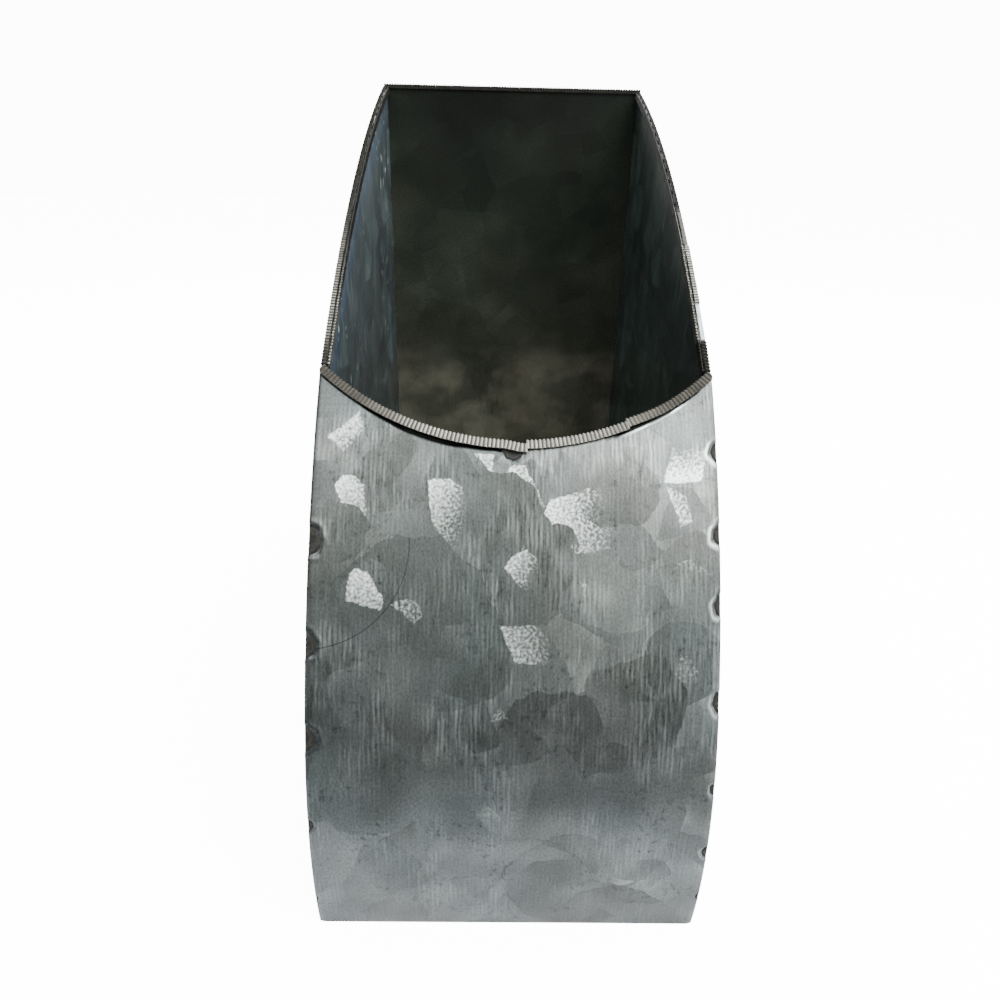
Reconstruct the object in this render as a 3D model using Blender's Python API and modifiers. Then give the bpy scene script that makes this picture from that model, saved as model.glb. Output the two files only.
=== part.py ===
"""Narrow utensil holder of galvanised sheet steel.

Two flat side plates have turned-in flanges. A bulging front band and a base panel lie outside
those flanges, a back panel stands inside them, and all three are spot-welded to them. U-shaped
edging caps every open edge: the scooped front lip, both sloping side rims and the back rim. Left
and right are as seen from the front. The front faces -Y, and the holder stands on z = 0.

Profile stations are distances in metres along the outer face of the front, up from its foot.
Depths are measured square to that face, into the holder.
"""

import math

import bmesh
import bpy
from mathutils import Matrix, Vector

# Overall sizes, in metres
BODY_WIDTH = 0.0900            # over the edging on the two side rims
BODY_DEPTH = 0.1715            # from the foot of the front to the back

# The front's curve: a tight belly, then a flatter breast up to the lip corner
FOOT_LEAN = math.radians(10.0)   # the front leans forward by this at its foot
BELLY_RADIUS = 0.110
BELLY_LENGTH = 0.059
BREAST_RADIUS = 0.220
BREAST_LENGTH = 0.0785
LIP_TURN = math.radians(9.0)     # the outline turns back by this where the rim starts
RIM_RADIUS = 0.370
SCOOP_DEPTH = 0.0182             # from the lip corners down to the middle of the lip, along the sheet

# Sheet and fits
SHEET = 0.0008                 # thickness of every plate and panel
FIT_GAP = 0.0003               # clearance between pieces that lie on each other
FLANGE_WIDTH = 0.0080          # of the side plates' turned-in flanges
BEND_INSIDE = 0.0005           # inside radius of the bends between plate and flanges
BAND_OVERHANG = 0.0007         # the front band stands out past each side plate by this

# U-shaped edging
TRIM_WALL = 0.0005
TRIM_HEIGHT = 0.0023           # on the lip and the side rims, outside
BACK_TRIM_HEIGHT = 0.0016      # on the back rim, outside
LIP_BREAKS = (0.0024, 0.0248)  # where the lip's edging is cut, across the width from the middle
RIM_BREAK = 0.0560             # where the right rim's edging is cut, along the rim from the lip

# Spot welds
WELD_RADIUS = 0.0033
WELD_RECESS = 0.00025          # a weld's face lies this far below the sheet's face
LEFT_FRONT_STATIONS = (0.0096, 0.0326, 0.0538, 0.0742, 0.0967)
RIGHT_FRONT_STATIONS = (0.0115, 0.0261, 0.0429, 0.0630, 0.0840, 0.0994, 0.1180)
BACK_SEAM_WELDS = 6            # on each back seam, evenly spaced
BASE_SEAM_WELDS = 5            # on each base seam, evenly spaced
SEAM_WELD_MARGIN = 0.0140      # from a seam's ends to its first and last welds
LIP_WELD_RADIUS = 0.0029
LIP_WELD_OFFSET = 0.0014       # the lip weld's centre lies this far below the sheet's edge
LIP_WELD_X = -0.0007

# How finely the curves are divided
FRONT_STEPS = 28
BEND_STEPS = 3
RIM_STEPS = 24
ACROSS_STEPS = 24
LIP_STEPS = 40
LEAST_STEPS = 4                # on a short piece of edging
WELD_SIDES = 20
MERGE = 0.000001               # corners closer than this become one
FLAT_ANGLE = math.radians(0.1)  # faces that meet at less than this become one

# How far a cutter stands past what it cuts
HOLLOW_CLEAR = 0.0080
HOLE_CLEAR = 0.0006

# Sizes that follow from the ones above
TRIM_REACH = TRIM_WALL + FIT_GAP                   # from a sheet's edge or face to the edging's outside
PLATE_OUTER = BODY_WIDTH / 2 - TRIM_REACH          # the side plates' outer faces
PLATE_INNER = PLATE_OUTER - SHEET
BAND_HALF = PLATE_OUTER + BAND_OVERHANG
LAP_DEPTH = SHEET + FIT_GAP                        # from an outer sheet's face to the sheet behind it
LAP_END = LAP_DEPTH + SHEET                        # from an outer sheet's face to that sheet's far side
LIP_RELIEF_DEPTH = SHEET + TRIM_REACH + FIT_GAP    # what clears the lip edging's inner leg
BACK_RELIEF_DEPTH = LAP_END + TRIM_REACH + FIT_GAP  # what clears the back edging's inner leg
LIP_STATION = BELLY_LENGTH + BREAST_LENGTH
SCOOP_RADIUS = (BAND_HALF ** 2 + SCOOP_DEPTH ** 2) / (2 * SCOOP_DEPTH)
SCOOP_CENTRE = LIP_STATION - SCOOP_DEPTH + SCOOP_RADIUS
FOOT_ANGLE = math.pi / 2 + FOOT_LEAN
BELLY_END_ANGLE = FOOT_ANGLE - BELLY_LENGTH / BELLY_RADIUS
LIP_ANGLE = BELLY_END_ANGLE - BREAST_LENGTH / BREAST_RADIUS
RIM_START_ANGLE = LIP_ANGLE - LIP_TURN


def inward(angle):
    """The direction into the holder, square to an outline that rises at this angle."""
    return Vector((0.0, math.sin(angle), -math.cos(angle)))


BELLY_CENTRE = BELLY_RADIUS * inward(FOOT_ANGLE)
BELLY_END = BELLY_CENTRE - BELLY_RADIUS * inward(BELLY_END_ANGLE)
BREAST_CENTRE = BELLY_END + BREAST_RADIUS * inward(BELLY_END_ANGLE)
LIP_CORNER = BREAST_CENTRE - BREAST_RADIUS * inward(LIP_ANGLE)
RIM_CENTRE = LIP_CORNER + RIM_RADIUS * inward(RIM_START_ANGLE)


def front_angle(station):
    """The angle at which the front rises at a station."""
    if station <= BELLY_LENGTH:
        return FOOT_ANGLE - station / BELLY_RADIUS
    return BELLY_END_ANGLE - (station - BELLY_LENGTH) / BREAST_RADIUS


def front_point(station, depth=0.0, across=0.0):
    """A point of the front at a station, a depth below its outer face, across the width."""
    angle = front_angle(station)
    if station <= BELLY_LENGTH:
        point = BELLY_CENTRE - (BELLY_RADIUS - depth) * inward(angle)
    else:
        point = BREAST_CENTRE - (BREAST_RADIUS - depth) * inward(angle)
    point.x = across
    return point


def front_station(height, depth):
    """The station near the foot whose point at this depth has this height."""
    angle = math.acos((height - BELLY_CENTRE.z) / (BELLY_RADIUS - depth))
    return (FOOT_ANGLE - angle) * BELLY_RADIUS


def rim_point(angle, depth=0.0):
    """A point of the side rim's outline where it rises at this angle, a depth below its top."""
    return RIM_CENTRE - (RIM_RADIUS - depth) * inward(angle)


def rim_angle(y, depth):
    """The angle at which the rim's outline, at this depth, reaches a distance from the front."""
    return math.asin((RIM_CENTRE.y - y) / (RIM_RADIUS - depth))


def lip_edge(across):
    """The station of the front sheet's scooped edge at a distance from the middle."""
    return SCOOP_CENTRE - math.sqrt(SCOOP_RADIUS ** 2 - across ** 2)


def lip_trim_foot(across):
    """The station of the lower edge of the lip's edging at a distance from the middle."""
    foot_radius = SCOOP_RADIUS - TRIM_REACH + TRIM_HEIGHT
    return SCOOP_CENTRE - math.sqrt(foot_radius ** 2 - across ** 2)


RIM_TOP_ANGLE = rim_angle(BODY_DEPTH, 0.0)
BODY_HEIGHT = rim_point(RIM_TOP_ANGLE).z
BELLY_FRONT = BELLY_CENTRE.y - BELLY_RADIUS        # the foremost point of the belly
CENTRE_Y = (BELLY_FRONT + BODY_DEPTH) / 2
TO_CENTRE = Matrix.Translation((0.0, -CENTRE_Y, 0.0))

# Where the pieces end at the two ends of the side rims
FLANGE_TOP = lip_trim_foot(PLATE_OUTER - FLANGE_WIDTH) - FIT_GAP
LIP_RELIEF = lip_trim_foot(PLATE_INNER) - FIT_GAP
LIP_TRIM_END = math.asin(BAND_HALF / (SCOOP_RADIUS - TRIM_REACH + TRIM_HEIGHT))
LIP_TRIM_TOP = SCOOP_CENTRE - (SCOOP_RADIUS - TRIM_REACH) * math.cos(LIP_TRIM_END)
RIM_TRIM_START = RIM_START_ANGLE - (max(LIP_TRIM_TOP - LIP_STATION, 0.0) + 2 * FIT_GAP) / RIM_RADIUS
RIM_TRIM_END = rim_angle(BODY_DEPTH - BACK_RELIEF_DEPTH, TRIM_HEIGHT)
PLATE_RIM_END = rim_angle(BODY_DEPTH - BACK_RELIEF_DEPTH, TRIM_REACH)
BACK_NOTCH_FLOOR = BODY_HEIGHT - BACK_TRIM_HEIGHT - FIT_GAP


def clear_scene():
    for item in list(bpy.data.objects):
        bpy.data.objects.remove(item, do_unlink=True)


def new_collection(name):
    collection = bpy.data.collections.new(name)
    bpy.context.scene.collection.children.link(collection)
    return collection


def steel(name, colour, roughness):
    """A metallic material with a linear colour."""
    material = bpy.data.materials.new(name)
    material.use_nodes = True
    shader = material.node_tree.nodes["Principled BSDF"]
    shader.inputs["Base Color"].default_value = (*colour, 1.0)
    shader.inputs["Roughness"].default_value = roughness
    shader.inputs["Metallic"].default_value = 1.0
    return material


def add_object(name, mesh, collection, material=None):
    item = bpy.data.objects.new(name, mesh)
    collection.objects.link(item)
    if material:
        mesh.materials.append(material)
    return item


def mesh_from(bm, name, tidy=True):
    if tidy:
        bmesh.ops.recalc_face_normals(bm, faces=bm.faces[:])
    mesh = bpy.data.meshes.new(name)
    bm.to_mesh(mesh)
    bm.free()
    return mesh


def as_cutter(item):
    item.hide_render = True
    item.display_type = "WIRE"
    return item


def cut(item, cutter):
    boolean = item.modifiers.new("cut_" + cutter.name, "BOOLEAN")
    boolean.operation = "DIFFERENCE"
    boolean.object = cutter


def extruded_outline(name, points, x_low, x_high, collection):
    """A flat outline in the side view, given by its points, made solid from x_low to x_high."""
    outline = bpy.data.curves.new(name, "CURVE")
    outline.dimensions = "2D"
    outline.fill_mode = "BOTH"
    outline.extrude = (x_high - x_low) / 2
    spline = outline.splines.new("POLY")
    spline.points.add(len(points) - 1)
    for spot, point in zip(spline.points, points):
        spot.co = (point.y, point.z, 0.0, 1.0)
    spline.use_cyclic_u = True
    drawn = bpy.data.objects.new(name + "_outline", outline)
    collection.objects.link(drawn)
    side_view = Matrix(((0, 0, 1, 0), (1, 0, 0, 0), (0, 1, 0, 0), (0, 0, 0, 1)))
    drawn.matrix_world = TO_CENTRE @ Matrix.Translation(((x_low + x_high) / 2, 0, 0)) @ side_view
    bpy.context.view_layer.update()
    evaluated = drawn.evaluated_get(bpy.context.evaluated_depsgraph_get())
    mesh = bpy.data.meshes.new_from_object(evaluated)
    bm = bmesh.new()
    bm.from_mesh(mesh)
    bpy.data.meshes.remove(mesh)
    bmesh.ops.remove_doubles(bm, verts=bm.verts[:], dist=MERGE)
    bmesh.ops.dissolve_limit(bm, angle_limit=FLAT_ANGLE, verts=bm.verts[:], edges=bm.edges[:])
    item = bpy.data.objects.new(name, mesh_from(bm, name))
    item.matrix_world = drawn.matrix_world.copy()
    bpy.data.objects.remove(drawn, do_unlink=True)
    collection.objects.link(item)
    return item


def box(name, low, high, collection):
    """A box between two corners."""
    bm = bmesh.new()
    bmesh.ops.create_cube(bm, size=1.0)
    size = high - low
    bmesh.ops.scale(bm, vec=size, verts=bm.verts[:])
    bmesh.ops.translate(bm, vec=(low + high) / 2, verts=bm.verts[:])
    item = add_object(name, mesh_from(bm, name), collection)
    item.matrix_world = TO_CENTRE.copy()
    return item


def plate_outline():
    """The side plate's edge, seen from the side, from the foot round to the back."""
    points = []
    foot = front_station(LAP_DEPTH, LAP_DEPTH)
    for step in range(FRONT_STEPS + 1):
        station = foot + (LIP_RELIEF - foot) * step / FRONT_STEPS
        points.append(front_point(station, LAP_DEPTH))
    points.append(front_point(LIP_RELIEF, LIP_RELIEF_DEPTH))
    points.append(front_point(LIP_STATION, LIP_RELIEF_DEPTH))
    for step in range(RIM_STEPS + 1):
        angle = RIM_TRIM_START + (PLATE_RIM_END - RIM_TRIM_START) * step / RIM_STEPS
        points.append(rim_point(angle, TRIM_REACH))
    notch_floor = min(BACK_NOTCH_FLOOR, points[-1].z - FIT_GAP)
    points.append(Vector((0.0, BODY_DEPTH - BACK_RELIEF_DEPTH, notch_floor)))
    points.append(Vector((0.0, BODY_DEPTH, notch_floor)))
    points.append(Vector((0.0, BODY_DEPTH, LAP_DEPTH)))
    return points


def hollow_outline():
    """What is cut out of a thick side plate to leave its plate and flanges."""
    points = []
    foot = front_station(LAP_END, LAP_END)
    for step in range(FRONT_STEPS + 1):
        station = foot + (FLANGE_TOP - foot) * step / FRONT_STEPS
        points.append(front_point(station, LAP_END))
    points.append(front_point(FLANGE_TOP, -HOLLOW_CLEAR))
    points.append(Vector((0.0, points[-1].y, BODY_HEIGHT + HOLLOW_CLEAR)))
    points.append(Vector((0.0, BODY_DEPTH - SHEET, BODY_HEIGHT + HOLLOW_CLEAR)))
    points.append(Vector((0.0, BODY_DEPTH - SHEET, LAP_END)))
    return points


def round_bends(item, outline, face_x, radius):
    """Rounds the edge of the face at face_x along the back, the base and the front of an outline.

    The outline starts with the front's points and ends with the two corners of the back.
    """
    bent = [TO_CENTRE @ corner for corner in outline[-2:] + outline[:FRONT_STEPS + 1]]

    def is_bent(place):
        on_face = abs(place.x - face_x) < MERGE
        return on_face and any((place.yz - corner.yz).length < MERGE for corner in bent)

    mesh = item.data
    weights = mesh.attributes.new("bevel_weight_edge", "FLOAT", "EDGE")
    for edge in mesh.edges:
        if all(is_bent(item.matrix_world @ mesh.vertices[index].co) for index in edge.vertices):
            weights.data[edge.index].value = 1.0
    bend = item.modifiers.new("bends", "BEVEL")
    bend.limit_method = "WEIGHT"
    bend.width = radius
    bend.segments = BEND_STEPS
    bend.use_clamp_overlap = False


def side_plate(name, side, parts, cutters, material):
    """A flat plate whose front, base and back edges are turned in as flanges."""
    edges = sorted((side * PLATE_OUTER, side * (PLATE_OUTER - FLANGE_WIDTH)))
    plate = extruded_outline(name, plate_outline(), edges[0], edges[1], parts)
    plate.data.materials.append(material)
    round_bends(plate, plate_outline(), side * PLATE_OUTER, BEND_INSIDE + SHEET)
    inner = sorted((side * PLATE_INNER, side * (PLATE_OUTER - FLANGE_WIDTH - SHEET)))
    hollow = extruded_outline(name + "_hollow", hollow_outline(), inner[0], inner[1], cutters)
    round_bends(hollow, hollow_outline(), side * PLATE_INNER, BEND_INSIDE)
    cut(plate, as_cutter(hollow))
    return plate


def front_band(parts, material):
    """The front sheet: a grid laid on the curve, with its top row on the scooped edge."""
    bm = bmesh.new()
    bmesh.ops.create_grid(bm, x_segments=ACROSS_STEPS, y_segments=FRONT_STEPS, size=0.5)
    for vertex in bm.verts:
        across = vertex.co.x * 2 * BAND_HALF
        station = (vertex.co.y + 0.5) * lip_edge(across)
        vertex.co = front_point(station, 0.0, across)
    for face in bm.faces:
        if face.normal.y > 0:
            face.normal_flip()
    band = add_object("front_band", mesh_from(bm, "front_band", tidy=False), parts, material)
    band.matrix_world = TO_CENTRE.copy()
    solid = band.modifiers.new("sheet", "SOLIDIFY")
    solid.thickness = SHEET
    solid.offset = -1.0
    solid.use_even_offset = True
    return band


def u_section(sheet_low, sheet_high, height):
    """Corners of a U that caps a sheet: pairs of a place across the sheet and a depth below the top."""
    outer = (sheet_low - TRIM_REACH, sheet_high + TRIM_REACH)
    inner = (sheet_low - FIT_GAP, sheet_high + FIT_GAP)
    return [
        (outer[0], height), (outer[0], 0.0), (outer[1], 0.0), (outer[1], height),
        (inner[1], height), (inner[1], TRIM_WALL), (inner[0], TRIM_WALL), (inner[0], height),
    ]


def spun(section, centre, axis, angle, steps):
    """A bmesh made by turning a closed section about an axis."""
    bm = bmesh.new()
    corners = [bm.verts.new(point) for point in section]
    bm.faces.new(corners)
    whole = bm.verts[:] + bm.edges[:] + bm.faces[:]
    bmesh.ops.spin(bm, geom=whole, cent=centre, axis=axis, angle=angle, steps=steps, use_duplicate=False)
    bmesh.ops.remove_doubles(bm, verts=bm.verts[:], dist=MERGE)
    return bm


def lip_trim(name, start, end, parts, material):
    """Edging on the scooped lip between two angles, made flat and then bent with the front."""
    top_radius = SCOOP_RADIUS - TRIM_REACH
    centre = Vector((0.0, SCOOP_CENTRE, 0.0))
    section = []
    for depth, below in u_section(-SHEET, 0.0, TRIM_HEIGHT):
        radius = top_radius + below
        section.append(centre + Vector((radius * math.sin(start), -radius * math.cos(start), depth)))
    steps = max(LEAST_STEPS, round(LIP_STEPS * (end - start) / (2 * LIP_TRIM_END)))
    bm = spun(section, centre, (0, 0, 1), end - start, steps)
    for vertex in bm.verts:
        flat = vertex.co.copy()
        vertex.co = front_point(flat.y, -flat.z, flat.x)
    trim = add_object(name, mesh_from(bm, name), parts, material)
    trim.matrix_world = TO_CENTRE.copy()
    return trim


def rim_trim(name, side, start, end, parts, material):
    """Edging on a side rim between two angles of its outline."""
    section = []
    for across, below in u_section(PLATE_INNER, PLATE_OUTER, TRIM_HEIGHT):
        point = rim_point(start, below)
        section.append(Vector((side * across, point.y, point.z)))
    steps = max(LEAST_STEPS, round(RIM_STEPS * (start - end) / (RIM_TRIM_START - RIM_TRIM_END)))
    bm = spun(section, RIM_CENTRE, (1, 0, 0), end - start, steps)
    trim = add_object(name, mesh_from(bm, name), parts, material)
    trim.matrix_world = TO_CENTRE.copy()
    return trim


def back_trim(parts, material):
    """Straight edging on the back panel's top edge."""
    section = [
        Vector((0.0, across, BODY_HEIGHT - below))
        for across, below in u_section(BODY_DEPTH - LAP_END, BODY_DEPTH - LAP_DEPTH, BACK_TRIM_HEIGHT)
    ]
    trim = extruded_outline("back_rim_trim", section, -BODY_WIDTH / 2, BODY_WIDTH / 2, parts)
    trim.data.materials.append(material)
    return trim


def facing(point, across, outward):
    """A frame at a point whose Z is the outward normal and whose X runs across the holder."""
    along = outward.cross(across)
    columns = Matrix((across, along, outward)).transposed()
    return Matrix.Translation(point) @ columns.to_4x4()


def front_frame(station, across):
    return facing(front_point(station, 0.0, across), Vector((1, 0, 0)), -inward(front_angle(station)))


def seam_stations(length, count):
    """Evenly spaced weld places along a seam."""
    span = length - 2 * SEAM_WELD_MARGIN
    return [SEAM_WELD_MARGIN + span * step / (count - 1) for step in range(count)]


def weld_frames():
    """Every group of spot welds: its name, and the frames of its welds on the sheets' outer faces."""
    groups = {}
    for name, side, stations in (("left", -1, LEFT_FRONT_STATIONS), ("right", 1, RIGHT_FRONT_STATIONS)):
        reached = [station for station in stations if station < FLANGE_TOP - WELD_RADIUS]
        groups[name + "_front_weld"] = [front_frame(station, side * BAND_HALF) for station in reached]
        across = side * (PLATE_OUTER - FLANGE_WIDTH / 2)
        groups[name + "_back_weld"] = [
            facing(Vector((across, BODY_DEPTH, height)), Vector((1, 0, 0)), Vector((0, 1, 0)))
            for height in seam_stations(BODY_HEIGHT, BACK_SEAM_WELDS)
        ]
        groups[name + "_base_weld"] = [
            facing(Vector((across, y, 0.0)), Vector((1, 0, 0)), Vector((0, 0, -1)))
            for y in seam_stations(BODY_DEPTH, BASE_SEAM_WELDS)
        ]
    groups["lip_weld"] = [front_frame(lip_edge(LIP_WELD_X) - LIP_WELD_OFFSET, LIP_WELD_X)]
    return groups


def discs(name, frames, radius, top, bottom, collection, clips=()):
    """Discs between two depths below the faces that the frames lie on, clipped by planes."""
    bm = bmesh.new()
    for frame in frames:
        middle = frame @ Matrix.Translation((0, 0, -(top + bottom) / 2))
        bmesh.ops.create_cone(
            bm, cap_ends=True, segments=WELD_SIDES, radius1=radius, radius2=radius,
            depth=bottom - top, matrix=middle)
    for point, normal in clips:
        whole = bm.verts[:] + bm.edges[:] + bm.faces[:]
        bmesh.ops.bisect_plane(bm, geom=whole, plane_co=point, plane_no=normal, clear_outer=True)
        rims = [edge for edge in bm.edges if edge.is_boundary]
        bmesh.ops.holes_fill(bm, edges=rims, sides=0)
    item = add_object(name, mesh_from(bm, name), collection)
    item.matrix_world = TO_CENTRE.copy()
    return item


def build():
    clear_scene()
    parts = new_collection("utensil_holder")
    cutters = new_collection("cutters")
    sheet_steel = steel("spangled_zinc", (0.22, 0.25, 0.25), 0.42)
    inner_steel = steel("dull_zinc", (0.12, 0.14, 0.14), 0.55)
    trim_steel = steel("ribbed_edging", (0.30, 0.29, 0.27), 0.50)
    weld_steel = steel("burnt_weld", (0.05, 0.05, 0.05), 0.70)

    plates = {}
    for name, side in (("left", -1), ("right", 1)):
        plates[name] = side_plate(name + "_side_plate", side, parts, cutters, sheet_steel)
    band = front_band(parts, sheet_steel)
    back = box(
        "back_panel",
        Vector((-PLATE_INNER + FIT_GAP, BODY_DEPTH - LAP_END, LAP_END + FIT_GAP)),
        Vector((PLATE_INNER - FIT_GAP, BODY_DEPTH - LAP_DEPTH, BODY_HEIGHT - TRIM_REACH)), parts)
    back.data.materials.append(inner_steel)
    base = box(
        "base_panel",
        Vector((-PLATE_OUTER, front_point(0.0, SHEET).y + FIT_GAP, 0.0)),
        Vector((PLATE_OUTER, BODY_DEPTH, SHEET)), parts)
    base.data.materials.append(inner_steel)

    breaks = [math.asin(across / SCOOP_RADIUS) for across in LIP_BREAKS]
    half_gap = FIT_GAP / SCOOP_RADIUS / 2
    lip_trim("lip_trim_left", -LIP_TRIM_END, breaks[0] - half_gap, parts, trim_steel)
    lip_trim("lip_trim_middle", breaks[0] + half_gap, breaks[1] - half_gap, parts, trim_steel)
    lip_trim("lip_trim_right", breaks[1] + half_gap, LIP_TRIM_END, parts, trim_steel)
    rim_trim("left_rim_trim", -1, RIM_TRIM_START, RIM_TRIM_END, parts, trim_steel)
    rim_cut = RIM_TRIM_START - RIM_BREAK / RIM_RADIUS
    rim_half_gap = FIT_GAP / RIM_RADIUS
    rim_trim("right_rim_trim_lower", 1, RIM_TRIM_START, rim_cut + rim_half_gap, parts, trim_steel)
    rim_trim("right_rim_trim_upper", 1, rim_cut - rim_half_gap, RIM_TRIM_END, parts, trim_steel)
    back_trim(parts, trim_steel)

    band_edges = [
        (Vector((BAND_HALF, 0, 0)), Vector((1, 0, 0))),
        (Vector((-BAND_HALF, 0, 0)), Vector((-1, 0, 0))),
    ]
    lip_frame = front_frame(lip_edge(LIP_WELD_X), 0.0)
    sheet_edge = [(lip_frame.translation, lip_frame.col[1].to_3d())]
    for name, frames in weld_frames().items():
        radius = WELD_RADIUS
        clips = ()
        panel = band
        if name == "lip_weld":
            radius = LIP_WELD_RADIUS
            clips = sheet_edge
        elif "front" in name:
            clips = band_edges
        elif "back" in name:
            panel = plates[name.split("_")[0]]
        else:
            panel = base
        for number, frame in enumerate(frames, start=1):
            weld_name = name if len(frames) == 1 else f"{name}_{number}"
            weld = discs(weld_name, [frame], radius, WELD_RECESS, SHEET, parts, clips)
            weld.data.materials.append(weld_steel)
        holes = discs(
            name + "_holes", frames, radius + FIT_GAP, -HOLE_CLEAR, SHEET + HOLE_CLEAR, cutters)
        cut(panel, as_cutter(holes))


build()
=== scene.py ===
# %% [markdown]
# # A utensil holder in spangled zinc sheet
#
# The real object is a narrow holder that someone bent and spot-welded from hot-dip galvanised
# steel sheet. Its front bulges near the foot and leans back to a scooped lip. Its sides rise in a
# long curve to a high back, and a thin ribbed edging covers every open edge.
#
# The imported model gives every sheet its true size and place. This lesson adds what the model
# leaves out: the dents round the welds, the ribs of the edging, the burnt weld marks, and the
# large flat crystals, called spangles, that molten zinc grows as it cools.

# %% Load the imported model
import math
from collections import namedtuple

import bmesh
import bpy
import numpy as np
from mathutils import Matrix, Vector


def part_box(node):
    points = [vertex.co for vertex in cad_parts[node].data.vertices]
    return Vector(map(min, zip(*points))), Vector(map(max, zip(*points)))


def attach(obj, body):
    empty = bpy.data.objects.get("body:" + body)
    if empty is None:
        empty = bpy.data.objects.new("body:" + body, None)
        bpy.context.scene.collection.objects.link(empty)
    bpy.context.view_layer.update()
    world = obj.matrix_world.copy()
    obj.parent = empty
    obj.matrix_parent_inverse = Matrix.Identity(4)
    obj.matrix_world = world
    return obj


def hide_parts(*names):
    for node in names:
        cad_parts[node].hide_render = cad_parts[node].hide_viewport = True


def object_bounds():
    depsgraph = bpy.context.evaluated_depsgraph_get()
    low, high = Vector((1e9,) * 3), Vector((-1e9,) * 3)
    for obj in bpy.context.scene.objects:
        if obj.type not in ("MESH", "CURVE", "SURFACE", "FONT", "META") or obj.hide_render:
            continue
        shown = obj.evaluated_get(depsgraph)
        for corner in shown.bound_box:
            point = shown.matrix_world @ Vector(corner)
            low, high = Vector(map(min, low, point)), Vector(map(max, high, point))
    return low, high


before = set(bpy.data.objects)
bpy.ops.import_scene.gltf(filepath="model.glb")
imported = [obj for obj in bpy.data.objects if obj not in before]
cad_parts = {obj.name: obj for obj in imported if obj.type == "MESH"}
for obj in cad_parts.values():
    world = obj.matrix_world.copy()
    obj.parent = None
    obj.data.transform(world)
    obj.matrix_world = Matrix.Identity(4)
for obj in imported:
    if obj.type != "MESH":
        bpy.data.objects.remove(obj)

CAD_LOW, CAD_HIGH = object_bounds()
print("packed model, mm:", [round(size * 1000, 1) for size in CAD_HIGH - CAD_LOW])

# %% [markdown]
# ## Sizes
#
# A sheet-metal worker marks everything out on the flat sheet, and so does this lesson. A place on
# the front has a distance across from the middle and a station, the distance up the sheet from its
# foot. The front's side view is two arcs that touch: a tight belly and a flatter breast above it.

# %% Sizes
MM = 0.001
SHEET = 0.8 * MM
FIT_GAP = 0.3 * MM
TRIM_WALL = 0.5 * MM
TRIM_REACH = TRIM_WALL + FIT_GAP
TRIM_HEIGHT = 2.3 * MM
BACK_TRIM_HEIGHT = 1.6 * MM
BODY_DEPTH = 171.5 * MM
BELLY_RADIUS = 110.0 * MM
BELLY_LENGTH = 59.0 * MM
BREAST_RADIUS = 220.0 * MM
BREAST_LENGTH = 78.5 * MM
RIM_RADIUS = 370.0 * MM
SCOOP_DEPTH = 18.2 * MM
FOOT_ANGLE = math.radians(100.0)
LIP_TURN = math.radians(9.0)

FOOT_Y = CAD_HIGH.y - BODY_DEPTH
PLATE_OUTER = CAD_HIGH.x - TRIM_REACH
PLATE_INNER = PLATE_OUTER - SHEET
BAND_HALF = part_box("front_band")[1].x
LIP_STATION = BELLY_LENGTH + BREAST_LENGTH
SCOOP_RADIUS = (BAND_HALF ** 2 + SCOOP_DEPTH ** 2) / (2 * SCOOP_DEPTH)
SCOOP_CENTRE = LIP_STATION - SCOOP_DEPTH + SCOOP_RADIUS


def inward(angle):
    """The direction into the holder, square to an outline that rises at this angle."""
    return Vector((0.0, math.sin(angle), -math.cos(angle)))


BELLY_END_ANGLE = FOOT_ANGLE - BELLY_LENGTH / BELLY_RADIUS
LIP_ANGLE = BELLY_END_ANGLE - BREAST_LENGTH / BREAST_RADIUS
RIM_START_ANGLE = LIP_ANGLE - LIP_TURN
BELLY_CENTRE = Vector((0.0, FOOT_Y, 0.0)) + BELLY_RADIUS * inward(FOOT_ANGLE)
BELLY_END = BELLY_CENTRE - BELLY_RADIUS * inward(BELLY_END_ANGLE)
BREAST_CENTRE = BELLY_END + BREAST_RADIUS * inward(BELLY_END_ANGLE)
LIP_CORNER = BREAST_CENTRE - BREAST_RADIUS * inward(LIP_ANGLE)
RIM_CENTRE = LIP_CORNER + RIM_RADIUS * inward(RIM_START_ANGLE)
print("lip corner, mm:", [round(place * 1000, 1) for place in LIP_CORNER])


def lip_edge(across):
    """The station of the front sheet's scooped edge at a distance from the middle."""
    return SCOOP_CENTRE - np.sqrt(SCOOP_RADIUS ** 2 - np.square(across))


# %% [markdown]
# ## Helpers for node trees
#
# Geometry Nodes and materials are both trees of nodes, so one small function serves both. It adds
# a node, applies its settings, and for each input either links a socket or sets a value. A second
# function runs a Geometry Nodes tree on an object and keeps the result as a plain mesh, because an
# exported model can't carry a live modifier.

# %% Helpers for node trees


def first_output(value):
    """A node's first active output. Anything else comes back as it is."""
    if isinstance(value, bpy.types.Node):
        return next(socket for socket in value.outputs if socket.enabled)
    return value


def add(tree, kind, inputs=(), **settings):
    """Adds a node. Its inputs, by name or in order, are values to set, or nodes or sockets to link.

    kind is Blender's name for the node, which may leave out a ShaderNode at its start.
    """
    node = tree.nodes.new(kind if "Node" in kind else "ShaderNode" + kind)
    for name, value in settings.items():
        setattr(node, name, value)
    if isinstance(inputs, dict):
        pairs = [(node.inputs[name], value) for name, value in inputs.items()]
    else:
        pairs = list(zip([socket for socket in node.inputs if socket.enabled], inputs))
    for socket, value in pairs:
        value = first_output(value)
        if isinstance(value, bpy.types.NodeSocket):
            tree.links.new(value, socket)
        else:
            socket.default_value = value
    return node


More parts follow.
